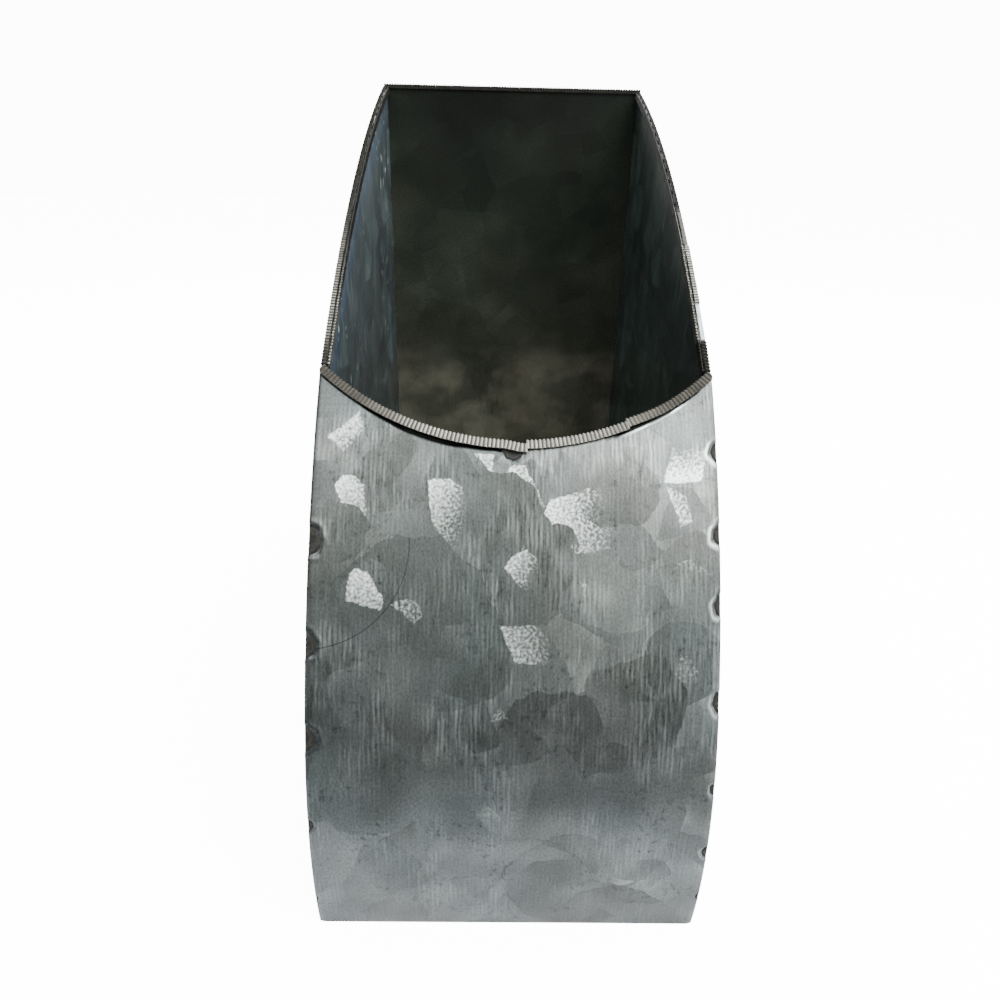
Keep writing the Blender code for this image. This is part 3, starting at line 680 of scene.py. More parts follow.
def back_marks(tree, space, base, rough):
    """Painted shade darkens the back more with height, painted light eases it near the side walls high up,
    and painted pale patches of light lie low down.
    """
    place = add(tree, "TexCoord").outputs["Object"]
    parts = add(tree, "SeparateXYZ", (place,)).outputs
    share = add(tree, "Math", (parts["Z"], CAD_HIGH.z), operation="DIVIDE")
    shade_wobble = mottle(tree, space, 30.0, 20.0, 1.0, 0.30, 0.70, -0.05, 0.05)
    share = add(tree, "Math", (share, shade_wobble), operation="ADD")
    # Painted light: near the side walls, high up, the painted shade is eased to lift the dark corners
    aside = add(tree, "Math", (parts["X"],), operation="ABSOLUTE")
    painted_corner_light = add(tree, "MapRange", (aside, 24.0 * MM, PLATE_INNER, 0.0, -0.13))
    high = add(tree, "MapRange", (parts["Z"], 118.0 * MM, 145.0 * MM, 0.0, 1.0))
    share = add(tree, "Math", (painted_corner_light, high, share), operation="MULTIPLY_ADD")
    # Painted shade: the back grows darker with height
    painted_height_shade = set_stops(add(tree, "ValToRGB", (share,)), *PAINTED_HEIGHT_SHADE)
    base = add(tree, "Mix", (1.0, base, painted_height_shade), data_type="RGBA", blend_type="MULTIPLY")
    # Painted light: pale patches low down, a painted reflection of the light that comes in at the mouth
    painted_light_patch = mottle(tree, space, 19.0, 13.0, 2.0, 0.40, 0.62, 0.0, 0.22)
    low = add(tree, "MapRange", (parts["Z"], 0.88 * LIT_PATCH_HEIGHT, LIT_PATCH_HEIGHT, 1.0, 0.0))
    painted_light_patch = add(tree, "Math", (painted_light_patch, low), operation="MULTIPLY")
    return add(tree, "Mix", (painted_light_patch, base, colour("b3ae9c")), data_type="RGBA"), rough


# %% Finish of the sides, back and floor
INSIDE_TONES = ("444b4e", "4b5457", "545e61", "626d70")
BACK_TONES = ("8b8b7b", "979788", "a1a192", "b0b1a1")

# The plates outside are the same zinc, with more scattered lobes, as none are listed one by one
plate_zinc = spangled_zinc("hot_dip_zinc_spangled_plates", boxed_space, ZINC_TONES, 0.9, 0.40,
                           (STREAK, 8.0, 0.7), (0.7, 0.5), 0.07)
# The inside was never wiped, so its zinc has dulled: it scatters more light and shows less contrast
inside_zinc = spangled_zinc("hot_dip_zinc_dulled_plates", boxed_space, INSIDE_TONES, 0.55, 0.46,
                            (2.2, 24.0, 1.0), (0.4,), 0.0, (), wall_marks, 0.1)
# The back and floor are duller still, and their spangles hardly show except low down
back_zinc = spangled_zinc("hot_dip_zinc_dulled_back", boxed_space, BACK_TONES, 0.85, 0.55,
                          (1.2, 14.0, 0.3), (), 0.0, (), back_marks, 0.0, (106.0, 92.0, 0.5))
print("wall zincs:", [len(zinc.node_tree.nodes) for zinc in (plate_zinc, inside_zinc, back_zinc)], "nodes")

# %% [markdown]
# ## Bending the front
#
# On the bench, the front is cut and marked flat and then bent over a former. The same order works
# here. Every piece that belongs to the front is made flat, with its height above the sheet as Z,
# and one Geometry Nodes tree bends it over the two arcs. A lattice or a curve modifier would do
# something alike, but a formula keeps the arcs exact, so the pieces meet their neighbours.

# %% A tree that bends flat work over the front's two arcs
bend_tree, size = new_geometry_tree("bend_over_front", (
    ("Belly length", "Float"), ("Belly radius", "Float"), ("Breast radius", "Float"),
    ("Belly angle", "Float"), ("Breast angle", "Float"),
    ("Belly centre", "Vector"), ("Breast centre", "Vector"),
    ("Finish", "Material"), ("Takes finish", "Bool"),
))
flat = add(bend_tree, "SeparateXYZ", (add(bend_tree, "GeometryNodeInputPosition"),)).outputs
beyond = add(bend_tree, "Math", (flat["Y"], size["Belly length"]), operation="GREATER_THAN")
radius = add(bend_tree, "Mix", (beyond, size["Belly radius"], size["Breast radius"]), data_type="FLOAT")
start = add(bend_tree, "Mix", (beyond, size["Belly angle"], size["Breast angle"]), data_type="FLOAT")
centre = add(bend_tree, "Mix", (beyond, size["Belly centre"], size["Breast centre"]), data_type="VECTOR")
centre = add(bend_tree, "SeparateXYZ", (centre,)).outputs
turned = add(bend_tree, "Math", (flat["Y"], radius), operation="DIVIDE")
angle = add(bend_tree, "Math", (start, turned), operation="SUBTRACT")
reach = add(bend_tree, "Math", (radius, flat["Z"]), operation="ADD")
sine = add(bend_tree, "Math", (angle,), operation="SINE")
cosine = add(bend_tree, "Math", (angle,), operation="COSINE")
forward = add(bend_tree, "Math", (reach, sine), operation="MULTIPLY")
bent_y = add(bend_tree, "Math", (centre["Y"], forward), operation="SUBTRACT")
bent_z = add(bend_tree, "Math", (reach, cosine, centre["Z"]), operation="MULTIPLY_ADD")
bent_place = add(bend_tree, "CombineXYZ", (flat["X"], bent_y, bent_z))
moved = add(bend_tree, "GeometryNodeSetPosition", {"Geometry": size["Geometry"], "Position": bent_place})
real = add(bend_tree, "GeometryNodeRealizeInstances", (moved,))
dressed = add(bend_tree, "GeometryNodeSetMaterial",
              {"Geometry": real, "Selection": size["Takes finish"], "Material": size["Finish"]})
add(bend_tree, "NodeGroupOutput", (dressed,))


def bend_over_front(item, takes_finish=False):
    """Bends a flat object over the front and leaves a plain mesh. A bare sheet takes its finish here."""
    return run_tree(
        item, bend_tree, belly_length=BELLY_LENGTH, belly_radius=BELLY_RADIUS,
        breast_radius=BREAST_RADIUS, belly_angle=FOOT_ANGLE,
        breast_angle=BELLY_END_ANGLE + BELLY_LENGTH / BREAST_RADIUS,
        belly_centre=BELLY_CENTRE, breast_centre=BREAST_CENTRE,
        finish=front_zinc, takes_finish=takes_finish)


# %% [markdown]
# ## The front sheet
#
# The sheet is soft and thin, so each spot weld leaves a dish with a raised lip, the cut edges roll
# back a little, and the whole sheet waves slightly. All of that is drawn in the heights of a fine
# flat grid, closer at the edges where the welds are. The same distances that shape the dents also
# say where the zinc is burnt or grimy, where a painted shadow darkens the gap under the edging, and
# where painted highlights brighten the dishes' lips and the hem, and are kept as attributes for the
# finish.

# %% Where the front's welds are
Weld = namedtuple("Weld", "across station radius burnt shine")

# Station, how far its middle lies past the sheet's edge, radius, how burnt the zinc round it is and
# how strong the painted highlight on its dish's lip is, from the foot up. The lower ones were
# pressed less hard.
LEFT_WELDS = (
    (9.6, 0.2, 0.9, 0.2, 0.0), (32.6, 0.4, 1.9, 0.2, 0.15), (53.8, 0.4, 3.3, 0.8, 0.0),
    (74.2, 0.3, 3.2, 0.8, 0.0), (96.7, 0.1, 3.5, 0.5, 0.0),
)
RIGHT_WELDS = (
    (11.5, 0.3, 1.2, 0.3, 0.0), (26.1, 0.3, 1.8, 0.1, 0.3), (42.9, 0.4, 1.7, 0.1, 0.45),
    (63.0, 0.9, 2.9, 0.5, 0.5), (84.0, 1.1, 3.0, 0.1, 0.6), (99.4, 1.2, 3.1, 0.1, 1.0),
    (118.0, 1.3, 3.1, 0.1, 1.0),
)
LIP_WELD = Weld(-0.7 * MM, float(lip_edge(-0.7 * MM)) - 1.4 * MM, 2.9 * MM, 0.5, 0.0)


def welds_along(side, rows):
    """The welds on the front's left (-1) or right (1) edge."""
    return [Weld(side * (BAND_HALF + past * MM), station * MM, radius * MM, burnt, shine)
            for station, past, radius, burnt, shine in rows]


edge_welds = {"left": welds_along(-1, LEFT_WELDS), "right": welds_along(1, RIGHT_WELDS)}
welds = edge_welds["left"] + edge_welds["right"] + [LIP_WELD]

# %% The front's flat grid
EDGE_ZONE = 5.4 * MM       # the finely divided strip at each side
FRONT_ROWS = 260
ROOM = 0.18 * MM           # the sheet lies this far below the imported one, for its raised lips


def ramp_up(value, low, high):
    """0 below low, 1 above high, and a smooth rise between."""
    share = np.clip((value - low) / (high - low), 0.0, 1.0)
    return share * share * (3.0 - 2.0 * share)


edge_columns = np.linspace(0.0, EDGE_ZONE, 16)
middle_columns = np.linspace(-BAND_HALF + EDGE_ZONE, BAND_HALF - EDGE_ZONE, 62)[1:-1]
columns = np.concatenate((-BAND_HALF + edge_columns, middle_columns, BAND_HALF - edge_columns[::-1]))
across = np.tile(columns, FRONT_ROWS)
station = np.repeat(np.linspace(0.0, 1.0, FRONT_ROWS), len(columns)) * lip_edge(across)
height = np.full(len(across), -ROOM)
print("front grid:", len(columns), "columns and", FRONT_ROWS, "rows")

# %% Dents, burnt halos and painted highlights at the welds
DISH = 0.34 * MM           # the depth of a full dish
FULL_DISH = 2.6 * MM       # a weld with a smaller radius than this leaves a shallower dish
LIP_RISE = 0.13 * MM       # how high the lip round a dish stands

halo = np.zeros(len(across))
bright = np.zeros(len(across))
for number, weld in enumerate(welds):
    aside, above = across - weld.across, station - weld.station
    turn = np.arctan2(above, aside)
    uneven = 1.0 + 0.07 * np.sin(3 * turn + number) + 0.04 * np.sin(7 * turn + 2.0 * number)
    distance = np.hypot(aside, above) / (weld.radius * uneven)
    share = min(1.0, weld.radius / FULL_DISH)
    height -= share * DISH * ramp_up(-distance, -1.08, -0.80)
    height += share * LIP_RISE * np.exp(-np.square((distance - 1.18) / 0.14))
    halo = np.maximum(halo, weld.burnt * ramp_up(-distance, -1.35, -1.0))
    # Painted highlight: a bright crescent on the left side of each dish's lip
    facing_left = ramp_up(-np.cos(turn - 0.35), 0.35, 0.95)
    highlight_crescent = facing_left * np.exp(-np.square((distance - 1.18) / 0.10))
    bright = np.maximum(bright, 0.9 * weld.shine * highlight_crescent)
print("deepest dish, mm:", round(float(-height.min()) * 1000, 2))

# %% Rolled edges, slow waves, and the gap and hem under the edging
EDGE_ROLL = 0.30 * MM
WAVE = 0.10 * MM
GAP_UNDER_EDGING = 0.40 * MM
HEM_RISE = 0.22 * MM

from_edge = BAND_HALF - np.abs(across)
height -= EDGE_ROLL * np.square(1.0 - np.clip(from_edge / (1.6 * MM), 0.0, 1.0))
wave = np.sin(across * 71.0 + 1.0) * np.sin(station * 96.0 + 0.6) + np.sin(across * 38.0 - station * 51.0)
height -= WAVE * (0.5 + 0.25 * wave)

# The gap under the edging is widest left of the middle, and narrow again at the far right
below_edging = (lip_edge(across) + TRIM_REACH - TRIM_HEIGHT) - station
gap_width = MM * (0.35 + 0.95 * np.exp(-np.square((across / MM + 21.0) / 11.0)))
open_gap = ramp_up(-across, -4.0 * MM, 3.0 * MM)
open_gap += 0.7 * ramp_up(across, 18.0 * MM, 25.0 * MM) * ramp_up(-across, -42.0 * MM, -38.0 * MM)
height -= GAP_UNDER_EDGING * open_gap * ramp_up(-below_edging, -gap_width, -gap_width + 0.3 * MM)
# Painted shadow: the gap under the edging is also darkened in its colour, by a mask that the finish reads
gap_shadow = open_gap * ramp_up(-below_edging, -gap_width - 0.15 * MM, -gap_width + 0.15 * MM)
hem = ramp_up(across, 22.0 * MM, 28.0 * MM) * ramp_up(-across, -40.0 * MM, -36.0 * MM)
hem *= np.exp(-np.square((below_edging - 0.95 * MM) / (0.30 * MM)))
height += HEM_RISE * hem
# A painted highlight along the hem's bead
bright = np.maximum(bright, 0.7 * hem)
print("front heights, mm:", round(float(height.min()) * 1000, 2), round(float(height.max()) * 1000, 2))

# %% Dirt, a painted shadow and a darker left edge on the front
# Small chips of dark dirt under the edging: across, how far below it, and their radius
CHIPS = ((23.6, 0.4, 0.9), (25.4, 0.5, 0.6), (38.6, 0.5, 0.8), (41.0, 0.3, 0.5), (-43.8, 0.4, 0.7))
# Painted shadow: this mask starts with the gap under the edging, and real chips of dirt are added to it
grime = gap_shadow.copy()
for chip_x, chip_below, chip_radius in CHIPS:
    distance = np.hypot((across - chip_x * MM) / 1.7, below_edging - chip_below * MM) / (chip_radius * MM)
    grime = np.maximum(grime, ramp_up(-distance, -1.1, -0.7))
# Darker along the left edge: a thin line above station 84 mm and a wider band round station 113 mm
left_edge_darkening = ramp_up(-across, BAND_HALF - 0.9 * MM, BAND_HALF - 0.2 * MM)
grime = np.maximum(grime, 0.8 * left_edge_darkening * ramp_up(station, 84.0 * MM, 92.0 * MM))
left_edge_dark_band = np.exp(-np.square((station - 113.0 * MM) / (9.0 * MM)))
left_edge_dark_band *= ramp_up(-across, BAND_HALF - 4.5 * MM, BAND_HALF)
grime = np.maximum(grime, 0.40 * left_edge_dark_band)
print("grimy points:", int((grime > 0.5).sum()), "of", len(grime))

# %% The grid as a mesh
front_mesh = bpy.data.meshes.new("front_sheet")
front_bm = bmesh.new()
bmesh.ops.create_grid(front_bm, x_segments=len(columns) - 1, y_segments=FRONT_ROWS - 1, size=0.5)
front_bm.to_mesh(front_mesh)
front_bm.free()
order = np.zeros(len(across) * 3, np.float32)
front_mesh.vertices.foreach_get("co", order)
order = order.reshape(-1, 3)
column_index = np.rint((order[:, 0] + 0.5) * (len(columns) - 1)).astype(int)
row_index = np.rint((order[:, 1] + 0.5) * (FRONT_ROWS - 1)).astype(int)
pick = row_index * len(columns) + column_index
corners = np.stack((across, station, height), 1)[pick].astype(np.float32)
front_mesh.vertices.foreach_set("co", corners.ravel())
for label, values in (("halo", halo), ("grime", grime), ("bright", bright)):
    kept_values = front_mesh.attributes.new(label, "FLOAT", "POINT").data
    kept_values.foreach_set("value", values[pick].astype(np.float32))
corner_vertex = np.zeros(len(front_mesh.loops), np.int32)
front_mesh.loops.foreach_get("vertex_index", corner_vertex)
flat_uv = np.stack((across, station), 1)[pick][corner_vertex] / SHEET_TILE
front_mesh.uv_layers.new(name="flat_sheet").data.foreach_set("uv", flat_uv.astype(np.float32).ravel())

# %% Bend it, thicken it and hand it over
VISIBLE_SHEET = 0.55 * MM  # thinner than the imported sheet, so that the dishes clear the flanges

front_sheet = bend_over_front(new_object("front_sheet", front_mesh), takes_finish=True)
thicken = front_sheet.modifiers.new("thickness", "SOLIDIFY")
thicken.thickness = VISIBLE_SHEET
thicken.offset = -1.0
plain_mesh(front_sheet)
finished(smooth(front_sheet, 50.0), "spangled_galvanised_sheet", "front_band")
print("front sheet starts at y, mm:", round(min(v.co.y for v in front_sheet.data.vertices) * 1000, 2))

# %% [markdown]
# ## Plates, back and floor
#
# These pieces have the right shape already, with bent flanges and welded seams. Each is a copy of
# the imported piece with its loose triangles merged, so that it can shade smoothly. A face that
# looks into the hollow takes the duller finish: the inside is never wiped or handled.

# %% Plates, back and floor
HOLLOW_CENTRE = Vector((0.0, 0.0, 0.45 * CAD_HIGH.z))


def dressed_copy(name, node, dulled, widened):
    """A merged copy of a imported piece, in a dulled finish where it looks into the hollow.

    widened is how far each of its sides moves out, to close the fitting gap in the corners.
    """
    item = new_object(name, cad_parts[node].data.copy())
    bm = bmesh.new()
    bm.from_mesh(item.data)
    bmesh.ops.remove_doubles(bm, verts=bm.verts[:], dist=0.002 * MM)
    for vert in bm.verts:
        vert.co.x += math.copysign(widened, vert.co.x)
    item.data.materials.clear()
    item.data.materials.append(plate_zinc)
    item.data.materials.append(dulled)
    for face in bm.faces:
        middle = face.calc_center_median()
        inward_side = face.normal.dot(HOLLOW_CENTRE - middle) > 0
        within = abs(middle.x) < PLATE_OUTER - 0.1 * MM
        face.material_index = 1 if inward_side and within else 0
    bm.to_mesh(item.data)
    bm.free()
    return smooth(item)


CORNER_CLOSED = FIT_GAP - 0.02 * MM
for name, node, slot, dulled, widened in (
    ("left_plate_sheet", "left_side_plate", "spangled_galvanised_sheet", inside_zinc, 0.0),
    ("right_plate_sheet", "right_side_plate", "spangled_galvanised_sheet", inside_zinc, 0.0),
    ("back_sheet", "back_panel", "dull_galvanised_sheet", back_zinc, CORNER_CLOSED),
    ("floor_sheet", "base_panel", "dull_galvanised_sheet", back_zinc, 0.0),
):
    finished(dressed_copy(name, node, dulled, widened), slot, node)

# %% [markdown]
# ## Ribbed edging
#
# The edging is a thin strip pressed with fine ribs and folded over the sheet's edge. It repeats
# hundreds of times along a path, which is what Geometry Nodes does best. One tree sweeps the
# strip's folded line along the path, gives it a wall, and sets a bar across it at every pitch. On
# the side rims the fold is split by a groove, so those have an outer and an inner strip.
#
# The path carries two numbers at each of its points. Wear says how dull and grimy the edging is
# there; on the left rim's inner strip near the lip its low values paint a highlight. Polish leaves
# the ribs off where they were rubbed or scraped flat.

# %% Finishes of the edging
RIB_BLOTCHES = 260.0     # in a metre: one every 4 mm
GRIME_BLOTCHES = 400.0   # in a metre: one every 2.5 mm


def along_edging(tree, attribute, *stops):
    """Colours picked by a number that the edging's path carries."""
    amount = add(tree, "Attribute", attribute_name=attribute).outputs["Fac"]
    return set_stops(add(tree, "ValToRGB", (amount,)), *stops)


# Ribs are rubbed pale on their backs: bright where hands pass, and a dull dirty grey elsewhere.
# On the left rim's inner strip near the lip the pale is a painted highlight.
rib_zinc, tree, shader = new_material("pressed_zinc_strip_rubbed", 0.85, 0.45)
place = add(tree, "TexCoord").outputs["Object"]
blotch = add(tree, "TexNoise", (place, RIB_BLOTCHES, 3.0))
blotch = add(tree, "MapRange", (blotch, 0.35, 0.65, 0.72, 1.10))
rubbed = along_edging(tree, "wear", (0.0, "a6a59d"), (0.5, "66645d"), (1.0, "2c2b27"))
rubbed = add(tree, "VectorMath", (rubbed, blotch), operation="SCALE")
tree.links.new(first_output(rubbed), shader.inputs["Base Color"])
wear = add(tree, "Attribute", attribute_name="wear").outputs["Fac"]
crusted = add(tree, "MapRange", (wear, 0.6, 1.0, 0.45, 0.90))
tree.links.new(crusted.outputs[0], shader.inputs["Roughness"])

# The strip between the ribs holds grime, which is a matte black crust where it is thickest. Where
# the strip lost its ribs it is smooth beige-grey, or a pale bluish zinc where it was scraped.
groove_zinc, tree, shader = new_material("pressed_zinc_strip_grimy", 0.7, 0.55)
place = add(tree, "TexCoord").outputs["Object"]
blotch = add(tree, "TexNoise", (place, GRIME_BLOTCHES, 3.0))
blotch = add(tree, "MapRange", (blotch, 0.30, 0.70, 0.65, 1.15))
grimy = along_edging(tree, "polish", (0.0, "403e39"), (0.2, "403e39"), (0.3, "22211f"),
                     (0.5, "4c4a45"), (1.0, "b6c4c8"))
grimy = add(tree, "VectorMath", (grimy, blotch), operation="SCALE")
wear = add(tree, "Attribute", attribute_name="wear").outputs["Fac"]
clean = add(tree, "MapRange", (wear, 0.6, 1.0, 1.0, 0.60))
grimy = add(tree, "VectorMath", (grimy, clean), operation="SCALE")
tree.links.new(first_output(grimy), shader.inputs["Base Color"])
crusted = add(tree, "MapRange", (wear, 0.6, 1.0, 0.55, 0.95))
tree.links.new(crusted.outputs[0], shader.inputs["Roughness"])

# %% A tree that makes ribbed edging along a path
edging_tree, size = new_geometry_tree("ribbed_edging", (
    ("Fold", "Object"), ("Rib pitch", "Float"), ("Rib radius", "Float"), ("Wall", "Float"),
    ("Looseness", "Float"), ("Seed", "Int"), ("Strip finish", "Material"), ("Rib finish", "Material"),
))
path = add(edging_tree, "GeometryNodeMeshToCurve", (size["Geometry"],))
path = add(edging_tree, "GeometryNodeSetCurveNormal", (path,), mode="Z_UP")
fold = add(edging_tree, "GeometryNodeObjectInfo", {"Object": size["Fold"]}).outputs["Geometry"]
fold = add(edging_tree, "GeometryNodeMeshToCurve", (fold,))
strip = add(edging_tree, "GeometryNodeCurveToMesh", {"Curve": path, "Profile Curve": fold})
wall = add(edging_tree, "GeometryNodeExtrudeMesh",
           {"Mesh": strip, "Offset Scale": size["Wall"], "Individual": False})
wall = add(edging_tree, "GeometryNodeFlipFaces", (wall,))
shell = add(edging_tree, "GeometryNodeJoinGeometry")
edging_tree.links.new(wall.outputs[0], shell.inputs[0])
edging_tree.links.new(strip.outputs[0], shell.inputs[0])
shell = add(edging_tree, "GeometryNodeMergeByDistance", {"Geometry": shell, "Distance": 0.001 * MM})

bar_section = add(edging_tree, "GeometryNodeCurvePrimitiveCircle",
                  {"Resolution": 6, "Radius": size["Rib radius"]})
bar = add(edging_tree, "GeometryNodeCurveToMesh",
          {"Curve": fold, "Profile Curve": bar_section, "Fill Caps": True})
bar = add(edging_tree, "GeometryNodeStoreNamedAttribute",
          {"Geometry": bar, "Name": "is_rib", "Value": True}, data_type="BOOLEAN", domain="FACE")
posts = add(edging_tree, "GeometryNodeCurveToPoints", {"Curve": path, "Length": size["Rib pitch"]},
            mode="LENGTH").outputs
polish = add(edging_tree, "GeometryNodeInputNamedAttribute", {"Name": "polish"}, data_type="FLOAT")
bare = add(edging_tree, "FunctionNodeCompare", (polish, 0.3), operation="GREATER_THAN")
kept = add(edging_tree, "GeometryNodeDeleteGeometry", {"Geometry": posts["Points"], "Selection": bare})
turn = add(edging_tree, "FunctionNodeAxesToRotation", (posts["Tangent"], posts["Normal"]),
           primary_axis="Z", secondary_axis="X")
loose = add(edging_tree, "FunctionNodeRandomValue",
            {"Min": (0.94, 0.94, 1.0), "Max": (1.0, 1.0, 1.0), "Seed": size["Seed"]},
            data_type="FLOAT_VECTOR")
bars = add(edging_tree, "GeometryNodeInstanceOnPoints",
           {"Points": kept, "Instance": bar, "Rotation": turn, "Scale": loose})
wobble = add(edging_tree, "FunctionNodeRandomValue",
             {"Min": (-1.0, -1.0, -1.0), "Max": (1.0, 1.0, 1.0), "Seed": size["Seed"]},
             data_type="FLOAT_VECTOR")
wobble = add(edging_tree, "VectorMath", (wobble, size["Looseness"]), operation="SCALE")
bars = add(edging_tree, "GeometryNodeRotateInstances", {"Instances": bars, "Rotation": wobble})
whole = add(edging_tree, "GeometryNodeJoinGeometry")
edging_tree.links.new(shell.outputs[0], whole.inputs[0])
edging_tree.links.new(bars.outputs[0], whole.inputs[0])
real = add(edging_tree, "GeometryNodeRealizeInstances", (whole,))
is_rib = add(edging_tree, "GeometryNodeInputNamedAttribute", {"Name": "is_rib"}, data_type="BOOLEAN")
dressed = add(edging_tree, "GeometryNodeSetMaterial",
              {"Geometry": real, "Material": size["Strip finish"]})
dressed = add(edging_tree, "GeometryNodeSetMaterial",
              {"Geometry": dressed, "Selection": is_rib, "Material": size["Rib finish"]})
add(edging_tree, "NodeGroupOutput", (dressed,))

# %% Folds and paths
RIB_PITCH = 0.90 * MM
RIB_RADIUS = 0.27 * MM
SLACK = 0.04 * MM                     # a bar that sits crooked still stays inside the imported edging
RIB_LINE = TRIM_REACH - RIB_RADIUS - SLACK    # from the sheet's edge or face to the bars' middle
CORNER = 0.35 * MM


def line_object(name, points):
    """An open line of points as an object, for a tree to read."""
    mesh = bpy.data.meshes.new(name)
    steps = [(place, place + 1) for place in range(len(points) - 1)]
    mesh.from_pydata([(*point, 0.0) for point in points], steps, [])
    return new_object(name, mesh)


def rounded(points, radius, steps=3):
    """A line with each of its square corners rounded."""
    line = [Vector(points[0])]
    for before, corner, after in zip(points, points[1:], points[2:]):
        into = (Vector(before) - Vector(corner)).normalized()
        out = (Vector(after) - Vector(corner)).normalized()
        centre = Vector(corner) + radius * (into + out)
        for step in range(steps + 1):
            turn = math.pi / 2 * step / steps
            line.append(centre - radius * (math.cos(turn) * out + math.sin(turn) * into))
    return line + [Vector(points[-1])]


def fold(name, leg, split=None):
    """A folded line over a sheet's edge. X is up past the edge and Y is depth below the outer face.

    Where the fold is split, it ends on its top at this depth. A whole fold has a leg on each side.
    """
    top, outer, inner = RIB_LINE, -RIB_LINE, SHEET + RIB_LINE
    points = [(-leg, outer), (top, outer)]
    points += [(top, split)] if split else [(top, inner), (-leg, inner)]
    return line_object(name, rounded(points, CORNER))


GROOVE = 0.16 * MM     # between the two strips of a side rim
whole_fold = fold("whole_fold", TRIM_HEIGHT - TRIM_REACH)
back_fold = fold("back_fold", BACK_TRIM_HEIGHT - TRIM_REACH)
inner_depth = SHEET + RIB_LINE
outer_fold = fold("outer_fold", TRIM_HEIGHT - TRIM_REACH, inner_depth - 2 * RIB_RADIUS - GROOVE)
inner_fold = line_object("inner_fold", [(RIB_LINE, inner_depth), (TRIM_REACH - TRIM_HEIGHT, inner_depth)])


def edging(name, points, folded, seed, wear, polish):
    """Flat ribbed edging along a path, which runs so that the outside is on its right.

    wear and polish are functions of the points, as two rows of coordinates.
    """
    item = line_object(name, points)
    rows = np.array(points, float).T
    for label, amount in (("wear", wear), ("polish", polish)):
        values = np.broadcast_to(amount(rows), len(points)).astype(np.float32)
        item.data.attributes.new(label, "FLOAT", "POINT").data.foreach_set("value", values)
    return run_tree(
        item, edging_tree, fold=folded, rib_pitch=RIB_PITCH, rib_radius=RIB_RADIUS,
        wall=-(RIB_LINE - FIT_GAP), looseness=0.03, seed=seed,
        strip_finish=groove_zinc, rib_finish=rib_zinc)


def none_of_it(rows):
    """No wear or polish anywhere."""
    return 0.0


def trimmed(item, planes):
    """Cuts an object off at planes and closes the cuts."""
    bm = bmesh.new()
    bm.from_mesh(item.data)
    for point, direction in planes:
        everything = bm.verts[:] + bm.edges[:] + bm.faces[:]
        bmesh.ops.bisect_plane(bm, geom=everything, plane_co=point, plane_no=direction, clear_outer=True)
        bmesh.ops.holes_fill(bm, edges=[edge for edge in bm.edges if edge.is_boundary], sides=0)
    bm.to_mesh(item.data)
    bm.free()
    return item


# %% Edging on the lip
LIP_BREAKS = (2.4 * MM, 24.8 * MM)
HALF_CUT = 0.15 * MM
TUCK = 0.8 * MM        # the left strip's end dips under its neighbour by this
TUCK_LENGTH = 5.5 * MM
STEP_UP = 0.5 * MM     # the right strip starts this much higher
STEP_LENGTH = 9.0 * MM


def lip_path(start, end, dip):
    """Points along the scooped edge, from right to left, with a dip added to each station."""
    places = np.linspace(end, start, max(8, int((end - start) / RIB_PITCH * 2)))
    stations = lip_edge(places) + dip(places)
    return list(zip(places, stations))


lip_end = BAND_HALF - 0.9 * MM
lip_pieces = (
    ("lip_edging_left", "lip_trim_left", -lip_end, LIP_BREAKS[0] - HALF_CUT,
     lambda x: -TUCK * ramp_up(x, LIP_BREAKS[0] - TUCK_LENGTH, LIP_BREAKS[0]), 3),
    ("lip_edging_middle", "lip_trim_middle", LIP_BREAKS[0] + HALF_CUT, LIP_BREAKS[1] - HALF_CUT,
     lambda x: 0.0 * x, 5),
    ("lip_edging_right", "lip_trim_right", LIP_BREAKS[1] + HALF_CUT, lip_end,
     lambda x: STEP_UP * ramp_up(-x, -LIP_BREAKS[1] - STEP_LENGTH, -LIP_BREAKS[1]), 7),
)
lip_limit = CAD_HIGH.x - 0.30 * MM    # its ends are filed off level with the sides


def lip_wear(rows):
    """The lip's edging is dull near its ends, more so on the left."""
    left = 0.80 * ramp_up(-rows[0], 16 * MM, 38 * MM)
    right = 0.75 * ramp_up(rows[0], 14 * MM, 38 * MM)
    return np.maximum(left, right)


for name, node, start, end, dip, seed in lip_pieces:
    piece = edging(name, lip_path(start, end, dip), whole_fold, seed, lip_wear, none_of_it)
    ends = [(Vector((side * lip_limit, 0, 0)), Vector((side, 0, 0))) for side in (-1, 1)]
    piece = trimmed(bend_over_front(piece), ends)
    finished(smooth(piece, 40.0), "ribbed_edging", node)

# %% Edging on the side rims
RIM_BREAK = 56.0 * MM


def rim_path(start, end):
    """Points of the rim's sheet edge between two distances from the lip, from back to front."""
    steps = max(8, int((end - start) / RIB_PITCH))
    points = []
    for step in range(steps + 1):
        angle = RIM_START_ANGLE - (end + (start - end) * step / steps) / RIM_RADIUS
        place = RIM_CENTRE - (RIM_RADIUS - TRIM_REACH) * inward(angle)
        points.append((place.y, place.z))
    return points


def on_side(item, side):
    """Stands flat rim work up against a side plate. Its X runs back, its Y up and its Z outwards."""
    upright = Matrix(((0, 0, side, side * PLATE_OUTER), (1, 0, 0, 0), (0, 1, 0, 0), (0, 0, 0, 1)))
    item.data.transform(upright)
    if side < 0:
        item.data.flip_normals()
    return item


def joined(name, items):
    """Several objects as one."""
    with bpy.context.temp_override(active_object=items[0], selected_editable_objects=items):
        bpy.ops.object.join()
    items[0].name = name
    return items[0]


